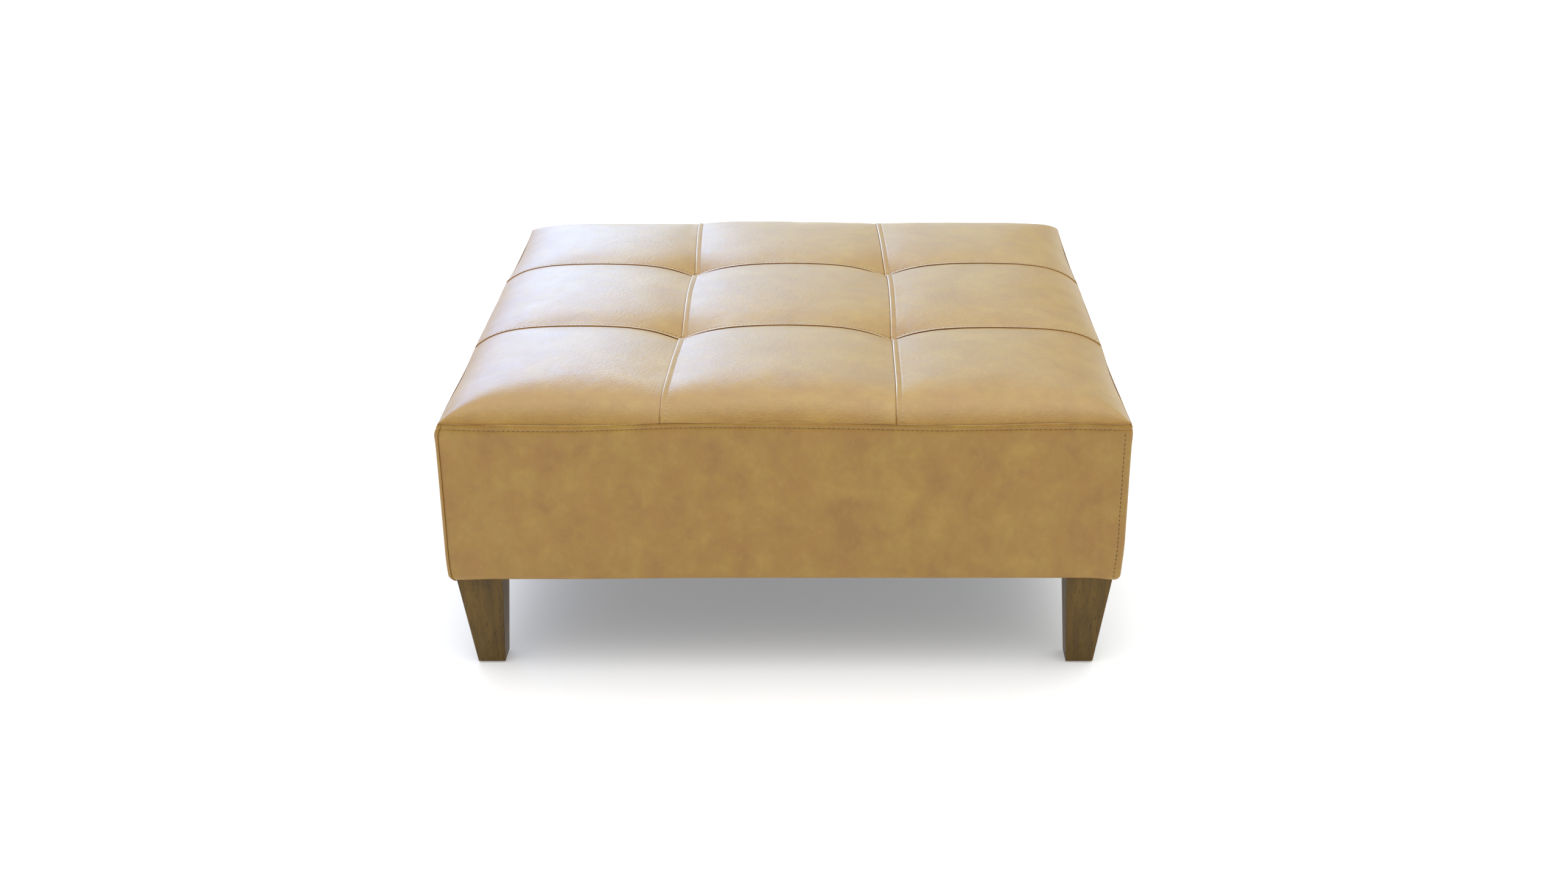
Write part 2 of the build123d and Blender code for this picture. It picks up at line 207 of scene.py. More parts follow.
def base_height(x, y, i, j, lines, puff=1.0):
    """The leather's smooth outer surface in cell (i, j), before seams."""
    left, right, front, back = lines
    ox = "near" if i == 0 else "far" if i == 2 else None
    oy = "near" if j == 0 else "far" if j == 2 else None
    r = edge_rise(x, y)
    lean = ease(x, 0, 320) * (-2.6 * ease(-y, -150, 150) + 1.6 * ease(y, -150, 150)) - 2.0 * ease(-x, 120, 330) * ease(y, 180, 400) - 1.5 * ease(-x, 330, 440) * ease(y, 330, 440)
    lean = lean + 3.2 * np.exp(-(((x + 100) / 80) ** 2)) * ease(y, 230, 400)
    z = edge_z(x, y) + r * (CREST + lean)
    z = z + puff * PUFF * r * swell(x, left, right, ox) * swell(y, front, back, oy)
    pull = np.zeros_like(z)
    for tx, ty in TUFTS:
        ok_x = (i == 0 and tx < 0) or (i == 2 and tx > 0) or i == 1
        ok_y = (j == 0 and ty < 0) or (j == 2 and ty > 0) or j == 1
        if not (ok_x and ok_y):
            continue
        sx = np.abs(x - (right if (i == 0 or (i == 1 and tx > 0)) else left))
        sy = np.abs(y - (back if (j == 0 or (j == 1 and ty > 0)) else front))
        along_row = seam_pull(np.abs(x - tx), sy)
        along_col = seam_pull(np.abs(y - ty), sx)
        pull = np.maximum(pull, (along_row**3 + along_col**3) ** (1 / 3))
    return z - pull


SIM = {"grid": None}     # displacement of the simulated cover, filled in below


def sim_lift(x, y):
    """Lift of the simulated cover over the drawn one."""
    if SIM["grid"] is None:
        return np.zeros_like(x)
    g, lo, step = SIM["grid"], SIM["lo"], SIM["step"]
    u, v = (x - lo) / step, (y - lo) / step
    n = g.shape[0]
    i, j = np.clip(np.floor(u).astype(int), 1, n - 3), np.clip(np.floor(v).astype(int), 1, n - 3)
    fu, fv = u - i, v - j

    def cubic(p0, p1, p2, p3, t):
        return p1 + 0.5 * t * (p2 - p0 + t * (2 * p0 - 5 * p1 + 4 * p2 - p3 + t * (3 * (p1 - p2) + p3 - p0)))

    rows = []
    for k in (-1, 0, 1, 2):
        rows.append(cubic(g[j + k, i - 1], g[j + k, i], g[j + k, i + 1], g[j + k, i + 2], fu))
    return cubic(*rows, fv)


def cover_at(x, y, puff=1.0):
    """Smooth cover height at any points of the top, whichever cell they are in."""
    z = np.full_like(x, 1e9)
    for j in range(3):
        for i in range(3):
            name = ROW_NAMES[j]
            left = np.full_like(x, -HALF) if i == 0 else COL[name, i - 1](y)
            right = np.full_like(x, HALF) if i == 2 else COL[name, i](y)
            front = np.full_like(x, -HALF) if j == 0 else ROW[j - 1](x)
            back = np.full_like(x, HALF) if j == 2 else ROW[j](x)
            inside = ((x >= left) | (i == 0)) & ((x <= right) | (i == 2)) & ((y >= front) | (j == 0)) & ((y <= back) | (j == 2))
            xx, yy = np.clip(x, left, right), np.clip(y, front, back)
            h = base_height(xx, yy, i, j, (left, right, front, back), puff)
            z = np.where(inside, h, z)
    return z


def simulate_cover():
    """Cloth simulation of the cover: one sheet with a little slack, held at its
    edges, seams and tufts. The slack sets how far it rises and a light pressure
    from the foam which way. A share of its lift is kept as a height grid."""
    step, lo = 12.0, -456.0
    n = 77
    t = lo + step * np.arange(n)
    x, y = np.meshgrid(t, t)
    full = cover_at(x, y)
    z = cover_at(x, y, 0.8)
    verts = np.stack([x, y, z], 2).reshape(-1, 3)
    idx = np.arange(n * n).reshape(n, n)
    loop = np.concatenate([idx[0, :-1], idx[:-1, -1], idx[-1, :0:-1], idx[:0:-1, 0]])
    low = verts[loop].copy()
    low[:, 2] = 300.0
    count = len(verts)
    m = len(loop)
    ring = count + np.arange(m)
    faces = grid_faces(n, n).tolist()
    faces += np.stack([np.roll(loop, -1), loop, ring, np.roll(ring, -1)], 1).tolist()
    faces.append(ring[::-1].tolist())
    obj = make_mesh("cover_simulation", np.concatenate([verts, low]), faces)
    # how firmly each point is held
    seam = np.full_like(x, 1e9)
    for c in (0, 1):
        line = np.where(y < ROW[0](x), COL["front", c](y), np.where(y < ROW[1](x), COL["middle", c](y), COL["back", c](y)))
        seam = np.minimum(seam, np.abs(x - line))
        seam = np.minimum(seam, np.abs(y - ROW[c](x)))
    hold = 0.92 * (1 - ease(seam, 3.0, 12.0))
    edge = HALF - np.maximum(np.abs(x), np.abs(y))
    hold = np.maximum(hold, 1 - ease(edge, 4.0, 16.0))
    for tx, ty in TUFTS:
        hold = np.maximum(hold, 1 - ease(np.hypot(x - tx, y - ty), 8.0, 20.0))
    group = obj.vertex_groups.new(name="held")
    for k, w in enumerate(hold.ravel()):
        if w > 0.01:
            group.add([k], float(w), "REPLACE")
    group.add([int(v) for v in ring], 1.0, "REPLACE")
    mod = obj.modifiers.new("cloth", "CLOTH")
    cs = mod.settings
    cs.quality = 5
    cs.mass = 0.4
    cs.tension_stiffness = cs.compression_stiffness = 18.0
    cs.shear_stiffness = 9.0
    cs.bending_stiffness = 1.2
    cs.vertex_group_mass = "held"
    cs.pin_stiffness = 6.0
    cs.shrink_min = cs.shrink_max = -0.008
    cs.use_pressure = True
    cs.uniform_pressure_force = 2.2
    cs.effector_weights.gravity = 0.0
    mod.collision_settings.use_collision = False
    mod.point_cache.frame_start, mod.point_cache.frame_end = 1, 20
    for f in range(1, 21):
        scene.frame_set(f)
    got = obj.evaluated_get(bpy.context.evaluated_depsgraph_get())
    co = np.empty(len(got.data.vertices) * 3)
    got.data.vertices.foreach_get("co", co)
    co = co.reshape(-1, 3)[:count] * 1000.0
    scene.frame_set(1)
    mesh = obj.data
    bpy.data.objects.remove(obj)
    bpy.data.meshes.remove(mesh)
    lift = (co[:, 2] - full.ravel()).reshape(n, n)
    # the foam under it holds the sheet up, and leather gives less than cloth;
    # the limits only guard against a runaway and aren't reached
    lift = np.clip(lift, -9.0, 14.0)
    lift = np.where(lift < 0, 0.16, 0.4) * lift
    for _ in range(2):
        q = lift.copy()
        q[1:-1, 1:-1] = 0.5 * lift[1:-1, 1:-1] + 0.125 * (lift[:-2, 1:-1] + lift[2:, 1:-1] + lift[1:-1, :-2] + lift[1:-1, 2:])
        lift = q
    lift *= ease(edge, 0.0, 14.0)
    SIM.update(grid=lift, lo=lo, step=step)


def tuft_gap(x, y):
    """Nearness to a tuft, 1 at it and 0 from about 150 mm."""
    d = np.full(np.shape(x), 1e9)
    for tx, ty in TUFTS:
        d = np.minimum(d, np.hypot(x - tx, y - ty))
    return np.exp(-d / 55.0)


# Cross-sections beside a seam: distance from the seam line and height over the
# smooth cover. Each starts inside the seam, under the neighbour's edge.
LAP_STITCH = 13
LAP_COL = (
    [1.5, 0.8, 0.3, 0.05, 0.0, 0.14, 0.45, 0.95, 1.7, 2.8, 4.1, 5.4, 6.7, 7.8, 8.6, 9.6, 11, 14, 18, 22],
    [-1.8, -1.3, -0.75, -0.15, 0.5, 1.1, 1.6, 1.88, 1.86, 1.56, 1.12, 0.64, 0.16, -0.26, -0.04, 0.1, 0.07, 0.02, 0, 0],
)
LAP_ROW = (
    [1.9, 1.3, 0.75, 0.3, 0.0, 0.1, 0.48, 1.1, 2.0, 3.0, 4.1, 5.1, 5.9, 6.5, 7.1, 8.0, 9.6, 12.5, 16.5, 22],
    [-1.3, -1.0, -0.62, -0.2, 0.18, 0.46, 0.7, 0.84, 0.84, 0.72, 0.5, 0.26, 0.02, -0.1, 0.0, 0.07, 0.07, 0.03, 0, 0],
)
PLAIN_COL = (
    [-1.6, -0.7, -0.2, 0.15, 0.5, 0.95, 1.5, 2.3, 3.4, 4.7, 6.1, 7.5, 8.8, 10.2, 11.8, 13.6, 15.6, 17.8, 20, 22],
    [-2.0, -1.2, -0.66, -0.4, -0.26, -0.17, -0.1, -0.05, -0.02] + [0] * 11,
)
PLAIN_ROW = (
    [-2.4, -1.2, -0.3, 0.25, 0.7, 1.15, 1.7, 2.5, 3.6, 4.9, 6.2, 7.5, 8.8, 10.2, 11.8, 13.6, 15.6, 17.8, 20, 22],
    [-1.4, -1.0, -0.7, -0.52, -0.43, -0.37, -0.31, -0.25, -0.18, -0.12, -0.07, -0.03, -0.01] + [0] * 7,
)
# Painted light at each station, from the hidden end of the section: above 0 painted
# shade in the crease and on the slope down to the stitches, below 0 a pale painted highlight on the fold's ridge.
PAINTED_LIGHT_LAP_COL = [0.9, 0.7, 0.45, 0.2, -0.1, -0.55, -0.8, -0.5, -0.06, 0.08, 0.13, 0.16, 0.2, 0.22, 0.1] + [0] * 5
PAINTED_LIGHT_LAP_ROW = [0.85, 0.75, 0.6, 0.42, 0.25, 0.05, -0.25, -0.4, -0.2, 0, 0, 0.02, 0.04, 0.06, 0.02] + [0] * 5
PAINTED_SHADE_PLAIN_COL = [0.8, 0.65, 0.45, 0.25, 0.12, 0.04] + [0] * 14
PAINTED_SHADE_PLAIN_ROW = [0.85, 0.8, 0.7, 0.6, 0.48, 0.36, 0.26, 0.18, 0.1, 0.05] + [0] * 10
# painted shade in the crease at the top seam
PAINTED_SHADE_EDGE = [1, 0.9, 0.75, 0.6, 0.42, 0.22, 0.08] + [0] * 13
EDGE = (
    [0.9, 0.45, 0.15, 0.0, 0.15, 0.5, 1.0, 1.7, 2.6, 3.7, 5, 6.3, 7.6, 9, 10.6, 12.5, 14.6, 17, 19.5, 22],
    [-2.4, -1.8, -1.25, -0.9, -0.6, -0.34, -0.16, -0.05] + [0] * 12,
)
NEAR = 22.0
MIDDLE = 49


def stations(first, last):
    """Grid stations across a panel: near list, share of the middle, near list."""
    kind = [0] * 20 + [1] * (MIDDLE - 1) + [2] * 20
    share = [0] * 20 + [k / MIDDLE for k in range(1, MIDDLE)] + [1] * 20
    s0 = list(first[0]) + [0] * (MIDDLE - 1) + [0] * 20
    s1 = [0] * 20 + [0] * (MIDDLE - 1) + list(reversed(last[0]))
    z0 = list(first[1]) + [0] * (MIDDLE - 1) + [0] * 20
    z1 = [0] * 20 + [0] * (MIDDLE - 1) + list(reversed(last[1]))
    return [np.array(v, float) for v in (kind, share, s0, s1, z0, z1)]


def between(a, b, st, shape_axis, widen=0.0):
    """Position across a panel from its two seams a and b."""
    kind, share, s0, s1, _, _ = [v[None, :] if shape_axis == 1 else v[:, None] for v in st]
    mid = (a + NEAR) * (1 - share) + (b - NEAR) * share
    return np.where(kind == 0, a + s0, np.where(kind == 2, b - s1 - widen * (s1 < 9), mid))


def panel_plan(i, j):
    """Plan positions of a panel's grid, the lines that bound it and its stations."""
    name = ROW_NAMES[j]
    left = (lambda y: np.full_like(y, -HALF)) if i == 0 else COL[name, i - 1]
    right = (lambda y: np.full_like(y, HALF)) if i == 2 else COL[name, i]
    front = (lambda x: np.full_like(x, -HALF)) if j == 0 else ROW[j - 1]
    back = (lambda x: np.full_like(x, HALF)) if j == 2 else ROW[j]
    across = stations(EDGE if i == 0 else LAP_COL, EDGE if i == 2 else PLAIN_COL)
    along = stations(EDGE if j == 0 else LAP_ROW, EDGE if j == 2 else PLAIN_ROW)
    n = 39 + MIDDLE
    x = np.full((n, n), (i - 1) * 305.0)
    y = np.full((n, n), (j - 1) * 305.0)
    for _ in range(7):
        gape = 0.0 if j == 2 else 0.03 + 0.6 * seam_gape(x)
        x = between(left(y), right(y), across, 1)
        y = between(front(x), back(x), along, 0, gape)
    return x, y, (left(y), right(y), front(x), back(x)), (across, along)


def seam_gape(x):
    """The crease between two rows opens a little to the right of each tuft."""
    g = np.zeros_like(x)
    for tx in (-154.0, 152.0):
        t = x - tx
        g = g + ease(t, 8, 46) * (1 - ease(t, 70, 140)) + 0.12 * ease(-t, 6, 30) * (1 - ease(-t, 40, 90))
    return g


def row_ends(x):
    """How open a row seam is: it runs out flat at both sides."""
    return 0.1 + 0.9 * ease(HALF - np.abs(x), 35, 140)


def cover_height(x, y, i, j, lines, st):
    """Outer surface with its seams: rolled edges, raised laps and stitch valleys."""
    left, right, front, back = lines
    z = base_height(x, y, i, j, lines) + sim_lift(x, y)
    near = tuft_gap(x, y)
    across, along = st
    zx0, zx1 = across[4][None, :] + 0 * z, across[5][None, :] + 0 * z
    zy0, zy1 = along[4][:, None] + 0 * z, along[5][:, None] + 0 * z
    dx0, dx1, dy0, dy1 = x - left, right - x, y - front, back - y
    # a seam that runs into another one ends under it
    end_y = ease(np.minimum(dy0, dy1), 1.0, 8.0)
    end_x = ease(np.minimum(dx0, dx1), 0.5, 5.0)
    edge = 1.0
    if j == 0:
        edge = edge * (0.2 + 0.8 * ease(dy0, 0, 60))
        zy0 = closing(zy0, 0.1 + 0.9 * crease_open(x))
    if j == 2:
        edge = edge * (0.2 + 0.8 * ease(dy1, 0, 60))
        zy1 = closing(zy1, 0.1 + 0.9 * crease_open(-x))
    side = 1.0
    if i == 0:
        side = side * (0.3 + 0.7 * ease(dx0, 0, 40))
        zx0 = closing(zx0, 0.1 + 0.9 * crease_open(-y))
    if i == 2:
        side = side * (0.3 + 0.7 * ease(dx1, 0, 40))
        zx1 = closing(zx1, 0.1 + 0.9 * crease_open(y))
    # the seams lie flatter far from the tufts
    deep = 0.75 + 0.6 * near if i < 2 else 1.0
    gape = 0.5 + 0.5 * np.maximum(seam_gape(x), 0.25 * near) if j < 2 else 1.0
    up = np.maximum(zx0, 0) * end_y * edge + np.maximum(zy0, 0) * side * (0.6 + 0.4 * end_x)
    out = row_ends(x) if j < 2 else 1.0
    down = np.minimum(zx0, 0) + np.minimum(zy0, 0) + zx1 * deep + zy1 * deep * gape * out
    return z + up + np.maximum(down, -4.6)


# ---------------------------------------------------------------------------
# Mesh helpers
# ---------------------------------------------------------------------------
def collection_link(obj):
    scene.collection.objects.link(obj)
    return obj


def panel_painted_shading(i, j, x, y, lines):
    """Painted shade in the creases and painted highlight on the fold ridges along the seams of a top panel."""
    left, right, front, back = lines
    none = np.zeros_like(x)
    near = np.maximum(seam_gape(x), tuft_gap(x, y))

    def spread(first, last, axis):
        first = np.array(list(first) + [0] * (MIDDLE - 1) + [0] * 20)
        last = np.array([0] * 20 + [0] * (MIDDLE - 1) + list(reversed(last)))
        return (first[None, :] + none, last[None, :] + none) if axis else (first[:, None] + none, last[:, None] + none)

    x0, x1 = spread(PAINTED_SHADE_EDGE if i == 0 else PAINTED_LIGHT_LAP_COL, PAINTED_SHADE_EDGE if i == 2 else PAINTED_SHADE_PLAIN_COL, 1)
    y0, y1 = spread(PAINTED_SHADE_EDGE if j == 0 else PAINTED_LIGHT_LAP_ROW, PAINTED_SHADE_EDGE if j == 2 else PAINTED_SHADE_PLAIN_ROW, 0)
    if i == 0:
        x0 = x0 * crease_open(-y)
    else:
        fade = ease(y - front, 2, 75) if j == 0 else ease(back - y, 2, 40) if j == 2 else 1.0
        x0 = x0 * (0.1 + 0.9 * fade)
    if i == 2:
        x1 = x1 * crease_open(y)
    else:
        x1 = x1 * (0.55 + 0.45 * near)
    if j == 0:
        y0 = y0 * crease_open(x)
    else:
        y0 = y0 * (0.45 + 0.55 * near) * row_ends(x)
    if j == 2:
        y1 = y1 * crease_open(-x)
    else:
        y1 = y1 * (0.5 + 0.5 * near) * row_ends(x)
    high = np.maximum(np.maximum(x0, x1), np.maximum(y0, y1))
    low = np.minimum(np.minimum(x0, x1), np.minimum(y0, y1))
    return np.where(high > 0.02, high, low)


def make_mesh(name, verts, faces, smooth=True):
    """Object from millimetre points and index lists."""
    mesh = bpy.data.meshes.new(name)
    mesh.from_pydata((np.asarray(verts) * 0.001).tolist(), [], faces)
    mesh.update()
    mesh.polygons.foreach_set("use_smooth", [smooth] * len(mesh.polygons))
    return collection_link(bpy.data.objects.new(name, mesh))


def grid_faces(rows, cols, offset=0, flip=False):
    idx = np.arange(rows * cols).reshape(rows, cols) + offset
    a, b, c, d = idx[:-1, :-1].ravel(), idx[:-1, 1:].ravel(), idx[1:, 1:].ravel(), idx[1:, :-1].ravel()
    q = np.stack([a, b, c, d], 1)
    return q[:, ::-1] if flip else q


def grid_normals(p):
    """Unit normals of a grid of points (rows, cols, 3)."""
    du = np.empty_like(p)
    dv = np.empty_like(p)
    du[:, 1:-1] = p[:, 2:] - p[:, :-2]
    du[:, 0], du[:, -1] = p[:, 1] - p[:, 0], p[:, -1] - p[:, -2]
    dv[1:-1] = p[2:] - p[:-2]
    dv[0], dv[-1] = p[1] - p[0], p[-1] - p[-2]
    n = np.cross(du, dv)
    return n / np.maximum(np.linalg.norm(n, axis=2, keepdims=True), 1e-9)


def skin(name, p, thick, inner=None, painted_shading=None):
    """Closed leather piece from a grid of outer points, thick inwards."""
    rows, cols = p.shape[:2]
    if inner is None:
        inner = p - grid_normals(p) * thick
    verts = np.concatenate([p.reshape(-1, 3), inner.reshape(-1, 3)])
    n = rows * cols
    faces = [grid_faces(rows, cols), grid_faces(rows, cols, n, True)]
    idx = np.arange(n).reshape(rows, cols)
    loop = np.concatenate([idx[0, :-1], idx[:-1, -1], idx[-1, :0:-1], idx[:0:-1, 0]])
    nxt = np.roll(loop, -1)
    faces.append(np.stack([nxt, loop, loop + n, nxt + n], 1))
    obj = make_mesh(name, verts, np.concatenate(faces).tolist())
    # painted shade and highlight per outer point; the inner side is painted fully shaded
    if painted_shading is not None:
        layer = obj.data.attributes.new("painted_shading", "FLOAT", "POINT")
        layer.data.foreach_set("value", np.concatenate([painted_shading.ravel(), np.ones(n)]).astype(np.float32))
    return obj


def slab(name, x, y, top, bottom):
    """Closed slab between two height grids over one plan grid."""
    rows, cols = x.shape
    p = np.stack([x, y, top], 2)
    q = np.stack([x, y, bottom], 2)
    return skin(name, settled(p), 0, settled(q))


# ---------------------------------------------------------------------------
# Top panels
# ---------------------------------------------------------------------------
simulate_cover()
PLAN = {(i, j): panel_plan(i, j) for i in range(3) for j in range(3)}


def outward(x, y):
    """Small waviness of the top seam in plan."""
    amp = 0.7 * np.cos(np.pi * x / 152.5) * ease(np.abs(y), 400, 457) * np.sign(y)
    bmp = 0.7 * np.cos(np.pi * y / 152.5) * ease(np.abs(x), 400, 457) * np.sign(x)
    return bmp, amp


def settled(p):
    """Points moved as the cover has settled: the top's left edge is drawn in
    over the wall, and its right edge a little."""
    q = p.copy()
    depth = edge_z(p[..., 0], p[..., 1]) - p[..., 2]
    above = 1 - ease(depth, 0.5, 17.0)
    q[..., 0] += above * (3.4 * ease(-p[..., 0], 300, 452) - 0.6 * ease(p[..., 0], 300, 452) * (1 - 0.9 * ease(p[..., 1], 300, 450)))
    q[..., 0] += 1.3 * ease(p[..., 0], 300, 455) * ease(p[..., 2], 160, 200) * (1 - above)
    # the front right corner stands out a little, the back right one is drawn up
    q[..., 0] += above * 1.8 * ease(p[..., 0], 300, 452) * ease(-p[..., 1], 200, 400)
    q[..., 2] += above * 2.6 * ease(p[..., 0], 385, 450) * ease(p[..., 1], 385, 450)
    return q


top_pieces = {}
top_grids = {}
for (i, j), (x, y, lines, st) in PLAN.items():
    z = cover_height(x, y, i, j, lines, st)
    ox, oy = outward(x, y)
    p = settled(np.stack([x - ox, y - oy, z], 2))
    node = f"top_panel_{ROW_NAMES[j]}_{COL_NAMES[i]}"
    smooth = np.stack([x - ox, y - oy, base_height(x, y, i, j, lines) + sim_lift(x, y)], 2)
    inner = p - grid_normals(smooth) * HIDE
    obj = skin(node.replace("panel", "leather"), p, HIDE, inner, panel_painted_shading(i, j, x, y, lines))
    top_pieces[node] = obj
    top_grids[i, j] = (p, lines)
    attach(obj, "root")
    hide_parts(node)


# ---------------------------------------------------------------------------
# Side panels: made for the front, turned for the other sides
# ---------------------------------------------------------------------------
wall_bulge = spline(
    [(140.0, -1.6), (155.0, -0.4), (200.0, 0.7), (270.0, 1.2), (310.0, 1.5), (340.0, 1.8), (356.0, 1.4), (368.0, 0.2), (376.0, 0.0)]
)
CORNER_R = 3.0
WRAP = 0.5
ARC = CORNER_R * math.pi / 2
REACH = WRAP + ARC + (HALF - CORNER_R) + 454.5
RLAP_S = [1.3, 0.7, 0.2, 0, 0.15, 0.5, 1.0, 1.7, 2.6, 3.6, 4.6, 5.6, 6.7, 7.8, 9.0, 10.0, 10.8, 11.6, 12.7, 14.2, 16.1, 18.3, 20.5, 22.8, 25, 27.5, 30, 33, 36.5, 41, 46]
RLAP_N = [-1.6, -1.0, -0.3, 0.3, 0.8, 1.1, 1.25, 1.3, 1.3, 1.28, 1.25, 1.2, 1.1, 0.9, 0.55, 0.25, 0.12, 0.24, 0.38, 0.4, 0.3, 0.18, 0.1, 0.05] + [0] * 7
RLAP_STITCH = 16
LPL_S = [-0.3, 0.0, 0.3, 0.7, 1.2, 1.9, 2.8, 4, 5.5, 7.5, 10, 13, 17, 22, 27, 32]
LPL_N = [-2.2, -1.6, -1.1, -0.75, -0.5, -0.3, -0.15, -0.05] + [0] * 8
# the folded edge under the top seam: out from the wall, height from the seam
TOP_FOLD = [(-1.7, -2.0), (-1.1, -1.3), (-0.6, -0.65), (-0.15, -0.15), (0.2, 0.02), (0.55, -0.35), (0.85, -0.95), (1.1, -1.7),
            (1.3, -2.6), (1.45, -3.6), (1.53, -4.6), (1.5, -5.5), (1.38, -6.2), (1.12, -6.8), (0.86, -7.2), (0.74, -7.5),
            (0.84, -7.85), (1.06, -8.4), (1.22, -9.6), (1.26, -11.6), (1.14, -14.5), (0.9, -18.5), (0.5, -24), (0.1, -30)]
TOP_STITCH = 15
ROUND_OUT, ROUND_UP = 6.5, 10.0


def wall_path(s):
    """Plan of a side panel at a distance along it from its right-hand crease."""
    s = np.asarray(s, float)
    c = HALF - CORNER_R
    a = -np.clip((s - WRAP) / CORNER_R, 0, math.pi / 2)
    flat = s > WRAP + ARC
    x = np.where(s < WRAP, HALF, np.where(flat, c - (s - WRAP - ARC), c + CORNER_R * np.cos(a)))
    y = np.where(s < WRAP, -c + WRAP - s, np.where(flat, -HALF, -c + CORNER_R * np.sin(a)))
    return x, y, np.cos(a), np.sin(a)


def side_grid(seed, droop_left, droop_right):
    """Outer points: rows from the top seam down and under, columns left to right."""
    mid = np.linspace(46, REACH - 32, 150)[1:-1]
    s = np.array(RLAP_S + list(mid) + [REACH - v for v in reversed(LPL_S)])
    n = np.array(RLAP_N + [0] * len(mid) + list(reversed(LPL_N)))
    s, n = s[::-1], n[::-1]
    px, py, nx, ny = wall_path(s)
    cols = len(s)
    wander = 1 + 0.12 * value_noise(px, 0 * px, 60, seed + 2)
    seam = edge_z(px, py)
    from_left, from_right = REACH - s, s

    def crumple(z, depth):
        w = 0.6 * value_noise(px + 13.7 * seed, z, 95, seed) + 0.25 * value_noise(px, z, 38, seed + 5)
        w = w * ease(depth, 10, 60) * ease(from_left, 2, 60) * ease(from_right, 4, 60)
        # small gathers where the leather is folded round the lower right corner
        for x0, lean, deep in ((428.0, 0.5, 0.5), (438.5, 0.35, 0.42), (-436.0, -0.4, 0.3)):
            d = px - (x0 + lean * (z - BOX_Z))
            w = w - deep * np.exp(-((d / 1.9) ** 2)) * np.exp(-np.maximum(z - 141, 0) / 7.5) + 0.5 * deep * np.exp(
                -(((d - 4) / 2.6) ** 2)
            ) * np.exp(-np.maximum(z - 141, 0) / 7.5)
        return w

    rows = []

    def add(z, out, lap, extra=0.0):
        o = wall_bulge(z)
        scale = 1 + (o + extra) / HALF
        rel = out + n * lap
        rows.append(np.stack([px * scale + nx * rel, py * scale + ny * rel, z], 1))

    width = BAND_WAVE(px)
    for out, dz in TOP_FOLD:
        z = seam + dz * (1 + (width - 1) * math.exp(-max(-dz - 7.5, 0.0) / 8.0))
        lap = 0.25 + 0.75 * ease(-dz, 1.0, 6.0)
        add(z, out * wander + crumple(z, -dz), np.where(n < 0, 1, lap))
    start, stop = seam - 30, BOX_Z + ROUND_UP
    for f in list(np.linspace(0, 0.86, 28)[1:]) + [0.88, 0.9, 0.92, 0.94, 0.96, 0.98, 1.0]:
        z = start * (1 - f) + stop * f
        add(z, crumple(z, seam - z), 1.0)
    droop = -(droop_right * ease(px, 398, 447) + droop_left * ease(-px, 398, 447))
    fuller = 2.4 * ease(px, -320, -60) * (1 - ease(px, 425, 450))
    for k in range(1, 11):
        a = math.pi / 2 * k / 10
        fade = math.cos(a)
        z = BOX_Z + ROUND_UP * (1 - math.sin(a)) + droop * math.sin(a) ** 2 + fuller * math.sin(a) ** 3
        o = wall_bulge(BOX_Z + ROUND_UP)
        scale = 1 + (o - ROUND_OUT * (1 - math.cos(a))) / HALF
        rel = (n + crumple(z, 200.0)) * fade
        rows.append(np.stack([px * scale + nx * rel, py * scale + ny * rel, z], 1))
    last = float(wall_bulge(BOX_Z + ROUND_UP)) - ROUND_OUT
    for f in (0.8, 1.8, 3.5, 6, 10, 17, 30, 45, FOLD - 7.0):
        scale = 1 + (last - f) / HALF
        z = BOX_Z + (droop + fuller) * math.exp(-((f / 1.6) ** 1.5)) + 0 * px
        rows.append(np.stack([px * scale, py * scale, z], 1))
    return np.array(rows), px


SIDES = ("front", "right", "back", "left")


def turn(p, quarter):
    """Points turned by quarter turns round Z."""
    c, s = round(math.cos(quarter * math.pi / 2)), round(math.sin(quarter * math.pi / 2))
    q = p.copy()
    q[..., 0] = c * p[..., 0] - s * p[..., 1]
    q[..., 1] = s * p[..., 0] + c * p[..., 1]
    return q


side_grids = {}
for q, side in enumerate(SIDES):
    p, along = side_grid(3 + q * 11, (1.3, 0.7, 1.6, 2.0)[q], (0.7, 1.6, 1.8, 1.4)[q])
    p = settled(turn(p, q))
    side_grids[side] = p
    node = "side_panel_" + side
    # painted shade in the crease under the top seam, in the band's stitch valley and in the corner creases where the
    # panels meet
    painted_shading = np.zeros(p.shape[:2])
    painted_shading[:6] = np.array([0.9, 0.8, 0.5, 0.25, 0.05, -0.04])[:, None] * (0.1 + 0.9 * crease_open(along))[None, :]
    painted_shading[13:18] = np.array([0.05, 0.1, 0.14, 0.1, 0.04])[:, None]
    last = p.shape[1] - 1
    for k, (v, w) in enumerate(zip((1, 1, 0.9, 0.45, 0.1), (1, 1, 0.7, 0.4, 0.2))):
        painted_shading[:, last - k] = v
        painted_shading[:, k] = w
    obj = skin("side_leather_" + side, p[::-1], HIDE, painted_shading=painted_shading[::-1])
    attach(obj, "root")
    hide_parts(node)
    top_pieces[node] = obj

# ---------------------------------------------------------------------------
# Thread: every stitch is a short slack loop whose ends go down into a hole
# ---------------------------------------------------------------------------
def stitch_frames(pts, nor, pitch):
    """Places of the stitches along a line: middle, normal, direction."""
    pts, nor = np.asarray(pts), np.asarray(nor)
    seg = np.linalg.norm(np.diff(pts, axis=0), axis=1)
    arc = np.concatenate([[0], np.cumsum(seg)])
    count = int((arc[-1] - 2) / pitch)
    start = (arc[-1] - count * pitch) / 2 + pitch / 2

    def at(t, values):
        return np.array([np.interp(t, arc, values[:, a]) for a in range(3)])

    for k in range(count):
        c = start + k * pitch
        n = at(c, nor)
        n /= np.linalg.norm(n)
        t = at(c + 1.5, pts) - at(c - 1.5, pts)
        t -= n * (t @ n)
        t /= max(np.linalg.norm(t), 1e-9)
        yield k, c, at(c, pts), n, t


